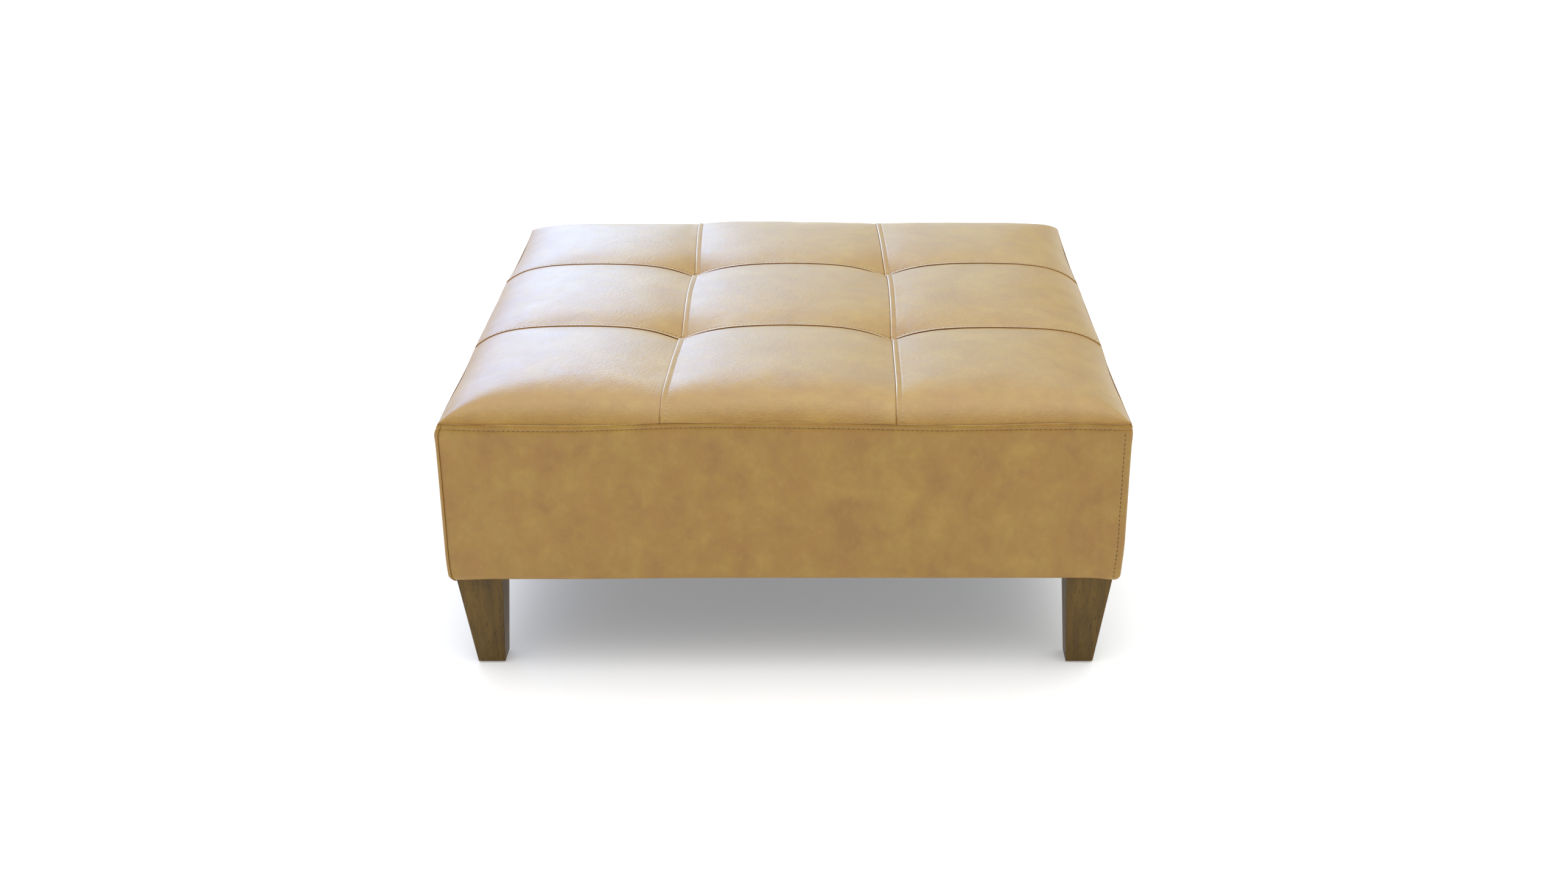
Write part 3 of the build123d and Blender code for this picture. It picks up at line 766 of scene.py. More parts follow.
def stitches(name, runs, pitch=PITCH, long=4.7, r=0.42, slant=9.0, lift=0.45, sides=6):
    """Stitches along runs of (points, normals)."""
    verts, faces = [], []
    for pts, nor in runs:
        for k, c, mid, n, t in stitch_frames(pts, nor, pitch):
            side = np.cross(n, t)
            a = math.radians(slant + math.sin(k * 12.9898 + c * 0.37) * 2.5)
            t, side = t * math.cos(a) + side * math.sin(a), side * math.cos(a) - t * math.sin(a)
            base = len(verts)
            rings = 5
            for i in range(rings):
                u = i / (rings - 1)
                bow = math.sin(math.pi * u)
                centre = mid + t * (u - 0.5) * long + n * (lift * bow - 0.55 * (1 - bow))
                up = n * 1.0 - t * 0.35 * math.cos(math.pi * u)
                up /= np.linalg.norm(up)
                rr = r * (0.8 + 0.2 * bow)
                for s in range(sides):
                    w = 2 * math.pi * s / sides
                    verts.append(centre + side * math.cos(w) * rr + up * math.sin(w) * rr * 0.85)
            for i in range(rings - 1):
                for s in range(sides):
                    a0 = base + i * sides + s
                    a1 = base + i * sides + (s + 1) % sides
                    faces.append((a0, a1, a1 + sides, a0 + sides))
            faces.append(tuple(base + s for s in reversed(range(sides))))
            faces.append(tuple(base + (rings - 1) * sides + s for s in range(sides)))
    return make_mesh(name, verts, faces)


def needle_holes(name, runs, pitch=PITCH, a=0.95, b=0.6, lift=0.1):
    """Dished holes between the stitches of each run; where their material is dark, that is painted shade."""
    verts, faces = [], []
    for pts, nor in runs:
        for k, c, mid, n, t in stitch_frames(pts, nor, pitch):
            side = np.cross(n, t)
            mid = mid + t * pitch / 2
            base = len(verts)
            for rr, up in ((1.0, lift), (0.55, lift - 0.18)):
                for s in range(8):
                    w = 2 * math.pi * s / 8
                    verts.append(mid + t * math.cos(w) * a * rr + side * math.sin(w) * b * rr + n * up)
            for s in range(8):
                faces.append((base + s, base + (s + 1) % 8, base + 8 + (s + 1) % 8, base + 8 + s))
            faces.append(tuple(base + 8 + s for s in range(8)))
            low = len(verts)
            for s in range(8):
                w = 2 * math.pi * s / 8
                verts.append(mid + t * math.cos(w) * a * 0.9 + side * math.sin(w) * b * 0.9 + n * (lift - 0.6))
            for s in range(8):
                faces.append((base + (s + 1) % 8, base + s, low + s, low + (s + 1) % 8))
            faces.append(tuple(low + s for s in reversed(range(8))))
    return make_mesh(name, verts, faces)


def run_on_top(i, j, which):
    """Line of the topstitch in one panel: beside its left seam or behind its front seam."""
    p, lines = top_grids[i, j]
    nor = grid_normals(p)
    pts, n = (p[:, LAP_STITCH], nor[:, LAP_STITCH]) if which == "col" else (p[LAP_STITCH], nor[LAP_STITCH])
    pts, n = pts[6:-5], n[6:-5]
    n = n * 0.25 + np.array([0, 0, 0.75])
    return pts, n / np.linalg.norm(n, axis=1, keepdims=True)


def joined(runs):
    pts = np.concatenate([r[0] for r in runs])
    nor = np.concatenate([r[1] for r in runs])
    keep = np.concatenate([[True], np.linalg.norm(np.diff(pts, axis=0), axis=1) > 0.05])
    return pts[keep], nor[keep]


threads = []
holes = []
row_runs = [joined([run_on_top(i, j, "row") for i in range(3)]) for j in (1, 2)]
threads.append(stitches("thread_top_rows", row_runs, r=0.34, lift=0.42))
holes.append(needle_holes("needle_holes_rows", row_runs, a=0.5, b=0.32))
col_runs = [run_on_top(i, j, "col") for i in (1, 2) for j in range(3)]
threads.append(stitches("thread_top_columns", col_runs, slant=26.0, long=4.4, r=0.42, lift=0.52))
holes.append(needle_holes("needle_holes_columns", col_runs, a=0.5, b=0.32))
join_runs = []
for q, side in enumerate(SIDES):
    p = side_grids[side]
    nor = -grid_normals(p)
    flat = np.abs(along) < 446.5
    band = (p[TOP_STITCH, flat], nor[TOP_STITCH, flat])
    k = p.shape[1] - 1 - RLAP_STITCH
    low = p.shape[0] - 16
    post = (p[TOP_STITCH + 1 : low, k], nor[TOP_STITCH + 1 : low, k])
    threads.append(stitches("thread_side_" + side, [band, post], slant=4.0, long=4.4, r=0.4, lift=0.3))
    holes.append(needle_holes("needle_holes_" + side, [band, post], a=1.15, b=0.75, lift=0.26))
    # the stitches that join the panels show in the crease
    up = turn(np.array([[0.0, -0.45, 1.0]]), q)[0]
    crease = p[3, 4:-4] + turn(np.array([[0.0, 0.35, -0.15]]), q)[0]
    shown = crease_open(along[4:-4]) > 0.25
    for piece in np.split(np.arange(len(crease)), np.nonzero(np.diff(shown.astype(int)))[0] + 1):
        if shown[piece[0]] and len(piece) > 3:
            join_runs.append((crease[piece], np.tile(up, (len(piece), 1))))
    k = p.shape[1] - 3
    face = turn(np.array([[1.0, 0.5, 0.0]]), q)[0]
    join_runs.append((p[6:low, k], np.tile(face, (low - 6, 1))))
seam_thread = stitches("thread_seams", join_runs, pitch=3.3, long=1.9, r=0.4, slant=0.0, lift=0.4, sides=5)
for t in threads + holes + [seam_thread]:
    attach(t, "root")

# ---------------------------------------------------------------------------
# Foam and wadding under the leather
# ---------------------------------------------------------------------------
def whole_top(n, half):
    """Smooth cover height over one grid for the layers underneath."""
    t = np.linspace(-half, half, n)
    x, y = np.meshgrid(t, t)
    return x, y, cover_at(x, y) + sim_lift(x, y)


inner_pieces = []
x, y, z = whole_top(73, 451.0)
inner_pieces.append((slab("wadding_top", x, y, z - 6.0, z - 12.4), "top_wadding", "wadding"))
x, y, z = whole_top(61, 445.0)
inner_pieces.append((slab("foam_core", x, y, z - 13.0, np.full_like(z, 310.0)), "foam_block", "foam"))
for q, side in enumerate(SIDES):
    zz = np.linspace(147.0, 351.0, 25)
    xx = np.linspace(-1, 1, 41)
    rows_o, rows_i = [], []
    for z0 in zz:
        w_o = HALF + float(wall_bulge(z0)) - 3.6
        rows_o.append(np.stack([xx * w_o, np.full(41, -w_o), np.full(41, z0)], 1))
        rows_i.append(np.stack([xx * 446.2, np.full(41, -446.2), np.full(41, z0)], 1))
    o, n = turn(np.array(rows_o), q), turn(np.array(rows_i), q)
    inner_pieces.append((skin("wadding_side_" + side, o, 0, n), "side_wadding_" + side, "wadding"))
for obj, node, slot in inner_pieces:
    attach(obj, "root")
    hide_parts(node)

# ---------------------------------------------------------------------------
# Dust cover: one thin cloth with its corners cut out round the legs
# ---------------------------------------------------------------------------
def dust_cover():
    cut = 381.5
    t = sorted(set(np.round(np.concatenate([np.linspace(-cut, cut, 60), np.linspace(cut, 439, 10), -np.linspace(cut, 439, 10)]), 4)))
    t = np.array(t)
    x, y = np.meshgrid(t, t)
    n = len(t)
    edge = np.minimum(439 - np.abs(x), 439 - np.abs(y))
    sag = 3.2 * ease(edge, 14, 330)
    pucker = 0.5 * np.cos(np.where(439 - np.abs(x) < 439 - np.abs(y), y, x) * 2 * np.pi / 52.0) * ease(edge, 1, 8) * (1 - ease(edge, 10, 60))
    wave = 0.8 * value_noise(x, y, 120, 9) * ease(edge, 10, 90)
    low = BOX_Z - 0.6 - sag + np.minimum(pucker, 0) + np.minimum(wave, 0.3)
    high = low + 0.5
    keep = np.ones((n - 1, n - 1), bool)
    cx, cy = (t[:-1] + t[1:]) / 2, (t[:-1] + t[1:]) / 2
    for a in range(n - 1):
        for b in range(n - 1):
            if abs(cx[b]) > cut and abs(cy[a]) > cut:
                keep[a, b] = False
    used = np.zeros((n, n), bool)
    for a, b in zip(*np.nonzero(keep)):
        used[a : a + 2, b : b + 2] = True
    index = -np.ones((n, n), int)
    index[used] = np.arange(used.sum())
    m = int(used.sum())
    verts = np.concatenate([np.stack([x[used], y[used], high[used]], 1), np.stack([x[used], y[used], low[used]], 1)])
    faces, edges = [], {}
    for a, b in zip(*np.nonzero(keep)):
        q = [index[a, b], index[a, b + 1], index[a + 1, b + 1], index[a + 1, b]]
        faces.append(tuple(int(v) for v in q))
        faces.append(tuple(int(v) + m for v in reversed(q)))
        for k in range(4):
            e = (int(q[k]), int(q[(k + 1) % 4]))
            if (e[1], e[0]) in edges:
                del edges[e[1], e[0]]
            else:
                edges[e] = True
    for a, b in edges:
        faces.append((b, a, a + m, b + m))
    return make_mesh("dust_cloth_under", verts, faces)


dust = dust_cover()
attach(dust, "root")
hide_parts("dust_cover")


# ---------------------------------------------------------------------------
# Materials
# ---------------------------------------------------------------------------
class Nodes:
    """Short hand for building a node tree."""

    def __init__(self, name):
        self.mat = bpy.data.materials.new(name)
        self.mat.use_nodes = True
        self.t = self.mat.node_tree
        self.t.nodes.clear()
        self.out = self.t.nodes.new("ShaderNodeOutputMaterial")
        self.bsdf = self.t.nodes.new("ShaderNodeBsdfPrincipled")
        self.t.links.new(self.bsdf.outputs[0], self.out.inputs[0])
        self.coord = self.t.nodes.new("ShaderNodeTexCoord").outputs["Object"]

    def new(self, kind, **inputs):
        n = self.t.nodes.new(kind)
        for k, v in inputs.items():
            self.put(n.inputs[k.replace("_", " ")], v)
        return n

    def put(self, socket, v):
        if isinstance(v, bpy.types.NodeSocket):
            self.t.links.new(v, socket)
        else:
            socket.default_value = v

    def mapping(self, scale=(1, 1, 1), rotation=(0, 0, 0), location=(0, 0, 0), vector=None):
        n = self.new("ShaderNodeMapping")
        n.inputs["Scale"].default_value = scale
        n.inputs["Rotation"].default_value = rotation
        n.inputs["Location"].default_value = location
        self.put(n.inputs["Vector"], vector or self.coord)
        return n.outputs[0]

    def noise(self, scale, detail=2.0, rough=0.5, vector=None, distortion=0.0):
        n = self.new("ShaderNodeTexNoise")
        n.inputs["Scale"].default_value = scale
        n.inputs["Detail"].default_value = detail
        n.inputs["Roughness"].default_value = rough
        n.inputs["Distortion"].default_value = distortion
        self.put(n.inputs["Vector"], vector or self.coord)
        return n.outputs[0]

    def voronoi(self, scale, feature="DISTANCE_TO_EDGE", vector=None, randomness=1.0):
        n = self.new("ShaderNodeTexVoronoi")
        n.feature = feature
        n.inputs["Scale"].default_value = scale
        n.inputs["Randomness"].default_value = randomness
        self.put(n.inputs["Vector"], vector or self.coord)
        return n.outputs[0]

    def ramp(self, fac, stops):
        n = self.new("ShaderNodeValToRGB")
        e = n.color_ramp.elements
        while len(e) < len(stops):
            e.new(0.5)
        for el, (pos, col) in zip(e, stops):
            el.position = pos
            el.color = (*col, 1) if len(col) == 3 else col
        self.put(n.inputs[0], fac)
        return n.outputs[0]

    def math(self, op, a, b=0.5, c=0.0, clamp=False):
        n = self.new("ShaderNodeMath")
        n.operation = op
        n.use_clamp = clamp
        self.put(n.inputs[0], a)
        self.put(n.inputs[1], b)
        self.put(n.inputs[2], c)
        return n.outputs[0]

    def remap(self, v, a, b, c, d, clamp=True):
        n = self.new("ShaderNodeMapRange")
        n.clamp = clamp
        self.put(n.inputs["Value"], v)
        n.inputs["From Min"].default_value = a
        n.inputs["From Max"].default_value = b
        n.inputs["To Min"].default_value = c
        n.inputs["To Max"].default_value = d
        return n.outputs[0]

    def mix(self, fac, a, b, mode="MIX"):
        n = self.new("ShaderNodeMix")
        n.data_type = "RGBA"
        n.blend_type = mode
        n.clamp_factor = True
        self.put(n.inputs[0], fac)
        for s, v in ((n.inputs[6], a), (n.inputs[7], b)):
            self.put(s, (*v, 1) if isinstance(v, tuple) and len(v) == 3 else v)
        return n.outputs[2]

    def bump(self, height, strength, distance, normal=None):
        n = self.new("ShaderNodeBump")
        n.inputs["Strength"].default_value = strength
        n.inputs["Distance"].default_value = distance
        self.put(n.inputs["Height"], height)
        if normal is not None:
            self.put(n.inputs["Normal"], normal)
        return n.outputs[0]


def srgb(r, g, b):
    """Linear colour from 0..255 values."""
    out = []
    for c in (r, g, b):
        c /= 255.0
        out.append(c / 12.92 if c <= 0.04045 else ((c + 0.055) / 1.055) ** 2.4)
    return tuple(out)


def leather_material(name, shift=(0, 0, 0), flow=0.9, top=True):
    """Aniline-style tan leather: soft clouds of finish, fine grain, drawn wrinkles."""
    m = Nodes(name)
    v = m.mapping(location=shift)
    drawn = v if top else m.mapping((0.95, 0.95, 0.8), rotation=(0.0, 0.22, 0.0), vector=v)
    clouds = m.noise(15.0 if top else 19.0, 3.0, 0.58, drawn, 0.4)
    small = m.noise(46.0, 5.0, 0.62, drawn, 0.25)
    fleck = m.noise(1.0, 4.0, 0.6, m.mapping((150, 150, 90), vector=v), 0.3)
    rust = m.noise(24.0, 4.0, 0.62, m.mapping(location=(shift[0] + 3.1, shift[1] + 1.7, shift[2] + 0.4)), 0.3)
    patch = m.math("ADD", m.math("MULTIPLY", clouds, 0.55), m.math("MULTIPLY", small, 0.45))
    if top:
        stops = [(0.36, srgb(153, 111, 35)), (0.50, srgb(160, 119, 40)), (0.64, srgb(167, 128, 46))]
    else:
        stops = [(0.37, srgb(147, 105, 30)), (0.46, srgb(155, 114, 35)), (0.54, srgb(159, 120, 38)), (0.65, srgb(168, 130, 45))]
    colour = m.ramp(patch, stops)
    mottle = m.noise(150.0, 4.0, 0.65, drawn, 0.2)
    colour = m.mix(m.remap(mottle, 0.42, 0.62, 0.08, 0.0), colour, srgb(138, 95, 29))
    colour = m.mix(m.remap(rust, 0.5, 0.68, 0.0, 0.28 if top else 0.5), colour, srgb(156, 107, 35))
    colour = m.mix(m.remap(fleck, 0.56, 0.74, 0.0, 0.16), colour, srgb(178, 142, 58))
    # painted light from the per-point attribute: below 0 a pale painted highlight on the fold ridges, above 0 a dark
    # painted shade in the creases
    painted_shading = m.new("ShaderNodeAttribute")
    painted_shading.attribute_name = "painted_shading"
    painted_shading = painted_shading.outputs["Fac"]
    colour = m.mix(m.remap(painted_shading, -1.0, 0.0, 0.75, 0.0), colour, srgb(250, 244, 232))
    colour = m.mix(m.remap(painted_shading, 0.0, 1.0, 0.0, 0.82), colour, srgb(138, 84, 24))
    # grain: small cells with darker creases
    warp = m.noise(220.0, 2.0, 0.5, v)
    wv = m.new("ShaderNodeVectorMath")
    wv.operation = "MULTIPLY_ADD"
    m.put(wv.inputs[0], warp)
    wv.inputs[1].default_value = (0.0016, 0.0016, 0.0016)
    m.put(wv.inputs[2], v)
    cells = m.voronoi(620.0, vector=wv.outputs[0])
    pore = m.remap(cells, 0.0, 0.16, 0.0, 1.0)
    speck = m.noise(1100.0, 2.0, 0.6, v)
    colour = m.mix(m.remap(cells, 0.0, 0.12, 0.07, 0.0), colour, srgb(120, 80, 32))
    # fine lines where the hide is stretched, and a few longer soft wrinkles
    turned = m.mapping(rotation=(0, 0, flow), vector=v)
    hatch = m.noise(1.0, 3.0, 0.55, m.mapping((540, 115, 400), vector=turned), 0.3)
    long = m.noise(1.0, 4.0, 0.6, m.mapping((120, 22, 80), vector=turned), 0.5)
    pebble = m.noise(560.0, 2.0, 0.5, v, 0.1)
    broad = m.noise(30.0, 3.0, 0.55, v, 0.2)
    m.put(m.bsdf.inputs["Base Color"], colour)
    rough = m.remap(m.math("ADD", m.math("MULTIPLY", small, 0.6), m.math("MULTIPLY", speck, 0.4)), 0.3, 0.7, 0.40, 0.50)
    m.put(m.bsdf.inputs["Roughness"], rough)
    m.bsdf.inputs["IOR"].default_value = 1.5
    m.bsdf.inputs["Specular IOR Level"].default_value = 0.5
    m.bsdf.inputs["Coat Weight"].default_value = 0.35
    m.bsdf.inputs["Coat Roughness"].default_value = 0.3
    n = m.bump(broad, 0.09, 0.004)
    n = m.bump(long, 0.2 if top else 0.08, 0.0011, n)
    n = m.bump(hatch, 0.5 if top else 0.25, 0.0008, n)
    n = m.bump(pebble, 0.34 if top else 0.25, 0.0006, n)
    n = m.bump(pore, 0.26, 0.00014, n)
    n = m.bump(speck, 0.25, 0.0001, n)
    m.put(m.bsdf.inputs["Normal"], n)
    m.put(m.bsdf.inputs["Coat Normal"], n)
    return m.mat


def thread_material(name, light, dark):
    m = Nodes(name)
    tw = m.new("ShaderNodeTexWave")
    tw.inputs["Scale"].default_value = 900.0
    tw.inputs["Distortion"].default_value = 2.0
    m.put(tw.inputs["Vector"], m.coord)
    var = m.noise(400.0, 2.0, 0.5)
    m.put(m.bsdf.inputs["Base Color"], m.ramp(var, [(0.3, dark), (0.7, light)]))
    m.put(m.bsdf.inputs["Roughness"], m.remap(var, 0.3, 0.7, 0.36, 0.5))
    m.put(m.bsdf.inputs["Normal"], m.bump(tw.outputs[1], 0.4, 0.0001))
    return m.mat


def wood_material(name, light, mid, dark, along="z", rough=(0.38, 0.52), grain=1.0, pores=0.6, shift=(0, 0, 0)):
    m = Nodes(name)
    fine = {"z": (95, 95, 3.2), "x": (3.2, 95, 95), "y": (95, 3.2, 95)}[along]
    wide = {"z": (26, 26, 1.3), "x": (1.3, 26, 26), "y": (26, 1.3, 26)}[along]
    v = m.mapping(fine, location=shift)
    w = m.mapping(wide, location=shift)
    g = m.noise(1.0 * grain, 5.0, 0.62, v, 0.3)
    b = m.noise(1.0, 3.0, 0.5, w, 0.8)
    cloud = m.noise(14.0, 2.0, 0.5)
    mixed = m.math("ADD", m.math("MULTIPLY", g, 0.55), m.math("ADD", m.math("MULTIPLY", b, 0.3), m.math("MULTIPLY", cloud, 0.15)))
    colour = m.ramp(mixed, [(0.34, dark), (0.5, mid), (0.66, light)])
    long = {"z": (520, 520, 26), "x": (26, 520, 520), "y": (520, 26, 520)}[along]
    pv = m.mapping(long, location=shift)
    pore = m.noise(1.0, 2.0, 0.5, pv)
    dots = m.remap(pore, 0.60, 0.70, 0.0, pores)
    colour = m.mix(dots, colour, tuple(c * 0.35 for c in dark))
    m.put(m.bsdf.inputs["Base Color"], colour)
    m.put(m.bsdf.inputs["Roughness"], m.remap(g, 0.3, 0.7, rough[0], rough[1]))
    m.bsdf.inputs["Specular IOR Level"].default_value = 0.3
    n = m.bump(g, 0.18, 0.0004)
    n = m.bump(m.remap(pore, 0.58, 0.72, 1.0, 0.0), 0.35, 0.0002, n)
    m.put(m.bsdf.inputs["Normal"], n)
    return m.mat


def fibre_material(name, light, dark, scale=300.0, rough=0.85, bump=0.5, dist=0.001, sheen=0.0):
    m = Nodes(name)
    a = m.noise(scale, 4.0, 0.65)
    b = m.noise(scale * 0.12, 3.0, 0.5)
    mixed = m.math("ADD", m.math("MULTIPLY", a, 0.6), m.math("MULTIPLY", b, 0.4))
    m.put(m.bsdf.inputs["Base Color"], m.ramp(mixed, [(0.35, dark), (0.65, light)]))
    m.put(m.bsdf.inputs["Roughness"], m.remap(a, 0.3, 0.7, rough - 0.08, min(1.0, rough + 0.08)))
    m.bsdf.inputs["Sheen Weight"].default_value = sheen
    m.put(m.bsdf.inputs["Normal"], m.bump(a, bump, dist))
    return m.mat


def metal_material(name, light, dark, rough=(0.25, 0.42)):
    m = Nodes(name)
    a = m.noise(900.0, 3.0, 0.6)
    b = m.noise(120.0, 3.0, 0.5)
    m.put(m.bsdf.inputs["Base Color"], m.ramp(m.math("ADD", m.math("MULTIPLY", a, 0.4), m.math("MULTIPLY", b, 0.6)), [(0.35, dark), (0.65, light)]))
    m.bsdf.inputs["Metallic"].default_value = 1.0
    m.put(m.bsdf.inputs["Roughness"], m.remap(b, 0.3, 0.7, *rough))
    m.put(m.bsdf.inputs["Normal"], m.bump(a, 0.2, 0.00008))
    return m.mat


def assign(obj, mat):
    obj.data.materials.clear()
    obj.data.materials.append(mat)


for k, (node, obj) in enumerate(sorted(top_pieces.items())):
    flat = node.startswith("top_panel")
    flow = 0.85 + 0.25 * math.sin(k * 2.1)
    mat = leather_material("leather_" + node, (0.37 * k, 0.61 * k, 0.23 * k), flow, flat)
    assign(obj, mat)
# the top's thread is painted pale cream as the sheen on it; the side thread is its plain tan
mat_thread_top_sheen = thread_material("thread_top", srgb(224, 204, 166), srgb(198, 173, 130))
mat_thread_side = thread_material("thread_side", srgb(170, 134, 76), srgb(150, 114, 60))
mat_thread_seam = thread_material("thread_seam", srgb(120, 84, 40), srgb(96, 66, 30))
for t in threads:
    assign(t, mat_thread_side if "side" in t.name else mat_thread_top_sheen)
assign(seam_thread, mat_thread_seam)
# the side holes are painted dark brown as shade in the holes; the top holes are painted pale as the sheen over them
mat_hole_painted_shade = fibre_material("needle_hole", srgb(104, 70, 34), srgb(78, 52, 24), 900.0, 0.9, 0.3, 0.0001)
mat_hole_top_painted_sheen = fibre_material("needle_hole_top", srgb(178, 142, 92), srgb(158, 122, 76), 900.0, 0.8, 0.3, 0.0001)
for t in holes:
    assign(t, mat_hole_top_painted_sheen if t.name.endswith(("rows", "columns")) else mat_hole_painted_shade)

mat_foam = fibre_material("foam", srgb(240, 232, 205), srgb(222, 208, 170), 260.0, 0.9, 0.6, 0.0012)
mat_wad = fibre_material("wadding", srgb(247, 247, 245), srgb(226, 226, 224), 140.0, 0.95, 0.8, 0.003, 0.2)
for obj, node, slot in inner_pieces:
    assign(obj, mat_foam if slot == "foam" else mat_wad)


def cloth_material():
    """Thin spun-bonded cloth: fine random fibres over a dimple pattern."""
    m = Nodes("dust_cloth")
    a = m.noise(700.0, 4.0, 0.7)
    v = m.voronoi(420.0, "F1", randomness=0.25)
    b = m.noise(26.0, 3.0, 0.5)
    mixed = m.math("ADD", m.math("MULTIPLY", a, 0.5), m.math("MULTIPLY", b, 0.5))
    m.put(m.bsdf.inputs["Base Color"], m.ramp(mixed, [(0.3, srgb(28, 28, 30)), (0.7, srgb(52, 52, 54))]))
    m.put(m.bsdf.inputs["Roughness"], m.remap(a, 0.3, 0.7, 0.78, 0.95))
    m.bsdf.inputs["Sheen Weight"].default_value = 0.15
    n = m.bump(v, 0.5, 0.0003)
    m.put(m.bsdf.inputs["Normal"], m.bump(a, 0.4, 0.0002, n))
    return m.mat


assign(dust, cloth_material())

mats = {
    "leg_wood": wood_material("leg_wood", srgb(110, 82, 26), srgb(92, 68, 18), srgb(72, 52, 12)),
    "frame_wood_x": wood_material("frame_wood_x", srgb(222, 190, 142), srgb(204, 168, 118), srgb(182, 144, 96), "x", (0.6, 0.8)),
    "frame_wood_y": wood_material("frame_wood_y", srgb(222, 190, 142), srgb(204, 168, 118), srgb(182, 144, 96), "y", (0.6, 0.8)),
    "frame_wood_z": wood_material("frame_wood_z", srgb(222, 190, 142), srgb(204, 168, 118), srgb(182, 144, 96), "z", (0.6, 0.8)),
    "plywood": wood_material("plywood", srgb(226, 198, 152), srgb(212, 180, 132), srgb(190, 154, 106), "x", (0.6, 0.8), 0.6),
    "dowel_wood": wood_material("dowel_wood", srgb(228, 200, 158), srgb(214, 184, 140), srgb(196, 162, 118), "x", (0.6, 0.75)),
    "fibreboard": fibre_material("fibreboard", srgb(150, 118, 84), srgb(122, 92, 62), 500.0, 0.85, 0.4, 0.0004),
    "twine": fibre_material("twine", srgb(224, 214, 190), srgb(196, 184, 158), 900.0, 0.8, 0.5, 0.0003),
    "toggle_plastic": fibre_material("toggle_plastic", srgb(222, 219, 210), srgb(208, 205, 196), 300.0, 0.45, 0.15, 0.0002),
    "glide_plastic": fibre_material("glide_plastic", srgb(44, 38, 34), srgb(30, 26, 24), 300.0, 0.5, 0.2, 0.0002),
    "zinc_steel": metal_material("zinc_steel", (0.78, 0.78, 0.76), (0.58, 0.58, 0.57)),
}
slots = {s["node"]: s["material_slot"] for s in frame["record"]["subparts"]}
for node, obj in frame["nodes"].items():
    slot = slots.get(node)
    if obj.hide_render or slot is None:
        continue
    if slot == "frame_wood":
        key = "frame_wood_z"
        if node.endswith(("_front", "_back")) and "rail" in node:
            key = "frame_wood_x"
        elif "rail" in node or "cross_brace" in node:
            key = "frame_wood_y"
        assign(obj, mats[key])
    elif slot in mats:
        assign(obj, mats[slot])

# ---------------------------------------------------------------------------
# Floor, light, camera
# ---------------------------------------------------------------------------
def floor():
    n = 25
    t = np.linspace(-1, 1, n) * 16000
    x, y = np.meshgrid(t, t)
    obj = make_mesh("floor", np.stack([x, y + 4000, np.zeros_like(x)], 2).reshape(-1, 3), grid_faces(n, n).tolist())
    m = Nodes("floor")
    a = m.noise(3.0, 2.0, 0.5)
    m.put(m.bsdf.inputs["Base Color"], m.ramp(a, [(0.3, (0.76, 0.715, 0.68)), (0.7, (0.77, 0.725, 0.69))]))
    m.put(m.bsdf.inputs["Roughness"], m.remap(a, 0.3, 0.7, 0.85, 0.95))
    m.bsdf.inputs["Specular IOR Level"].default_value = 0.1
    m.bsdf.inputs["Emission Color"].default_value = (1.0, 1.0, 1.0, 1.0)
    m.bsdf.inputs["Emission Strength"].default_value = 0.25
    assign(obj, m.mat)


floor()

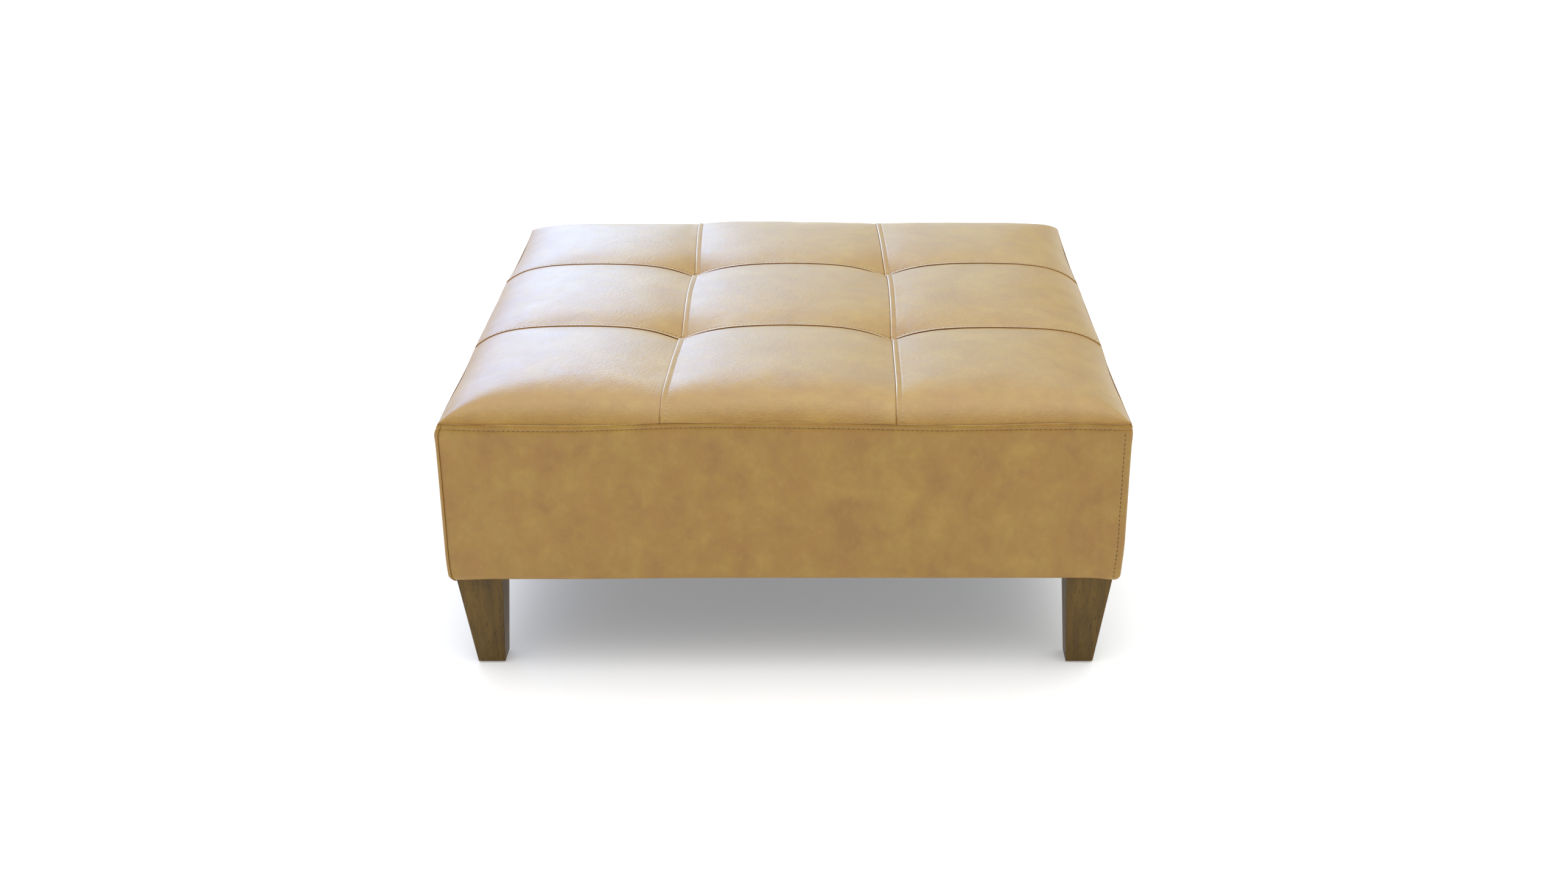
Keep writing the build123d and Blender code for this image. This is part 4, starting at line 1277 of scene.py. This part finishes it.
def studio_world():
    """Soft light from above, a pale band at the horizon and a soft glow far behind."""
    world = bpy.data.worlds.new("studio")
    scene.world = world
    world.use_nodes = True
    t = world.node_tree
    bg = t.nodes["Background"]
    way = t.nodes.new("ShaderNodeTexCoord").outputs["Generated"]

    def link(socket, v):
        if isinstance(v, bpy.types.NodeSocket):
            t.links.new(v, socket)
        else:
            socket.default_value = v

    def calc(op, a, b=0.0):
        n = t.nodes.new("ShaderNodeMath")
        n.operation = op
        link(n.inputs[0], a)
        link(n.inputs[1], b)
        return n.outputs[0]

    def vec(op, a, b, out="Vector"):
        n = t.nodes.new("ShaderNodeVectorMath")
        n.operation = op
        link(n.inputs[0], a)
        link(n.inputs[1], b)
        return n.outputs[out]

    def smooth(v, a, b, c, d):
        n = t.nodes.new("ShaderNodeMapRange")
        n.interpolation_type = "SMOOTHSTEP"
        link(n.inputs["Value"], v)
        for k, x in (("From Min", a), ("From Max", b), ("To Min", c), ("To Max", d)):
            n.inputs[k].default_value = x
        return n.outputs[0]

    height = vec("DOT_PRODUCT", way, (0, 0, 1), "Value")
    over = calc("POWER", calc("MAXIMUM", height, 0.0), 3.5)
    horizon = smooth(calc("ABSOLUTE", height), 0.03, 0.12, 0.75, 0.0)
    low = calc("ADD", horizon, 0.15)
    az, el = math.radians(4), math.radians(18)
    glow_way = (-math.sin(az) * math.cos(el), math.cos(az) * math.cos(el), math.sin(el))
    glow = smooth(vec("DOT_PRODUCT", way, glow_way, "Value"), math.cos(math.radians(18)), math.cos(math.radians(8)), 0.0, 1.0)

    def tinted(strength, colour):
        n = t.nodes.new("ShaderNodeVectorMath")
        n.operation = "SCALE"
        n.inputs[0].default_value = colour
        link(n.inputs["Scale"], strength)
        return n.outputs["Vector"]

    total = vec("ADD", tinted(over, (3.35, 3.57, 3.74)), tinted(low, (1.0, 1.0, 1.0)))
    total = vec("ADD", total, tinted(glow, (0.95, 1.50, 1.85)))
    az, el = math.radians(-42), math.radians(24)
    right_way = (-math.sin(az) * math.cos(el), math.cos(az) * math.cos(el), math.sin(el))
    right = smooth(vec("DOT_PRODUCT", way, right_way, "Value"), math.cos(math.radians(36)), math.cos(math.radians(10)), 0.0, 1.0)
    total = vec("ADD", total, tinted(right, (0.60, 0.85, 0.85)))
    link(bg.inputs["Color"], total)
    bg.inputs["Strength"].default_value = 1.0


studio_world()


def area(name, where, aim, size, power, colour=(1, 1, 1)):
    d = bpy.data.lights.new(name, "AREA")
    d.shape = "RECTANGLE"
    d.size, d.size_y = size
    d.energy = power
    d.color = colour
    o = collection_link(bpy.data.objects.new(name, d))
    o.location = where
    o.rotation_mode = "QUATERNION"
    o.rotation_quaternion = (Vector(aim) - Vector(where)).to_track_quat("-Z", "Y")
    return o


area("window_back_left", (-3.0, 7.5, 3.2), (-0.1, 0.1, 0.35), (4.4, 3.6), 340, (0.385, 0.59, 1.0))

cam = bpy.data.cameras.new("camera")
cam.sensor_width = 36.0
cam.lens = 45.85
cam.shift_x = -0.0285
cam.shift_y = 0.0012
cam.clip_end = 100
cam_obj = collection_link(bpy.data.objects.new("camera", cam))
cam_obj.location = (0.0603, -2.9015, 1.3386)
cam_obj.rotation_euler = (math.radians(90 - 22.16), 0, 0)
scene.camera = cam_obj
scene.view_settings.view_transform = "Standard"
scene.view_settings.look = "None"
scene.view_settings.exposure = 0.0
scene.view_settings.gamma = 1.0
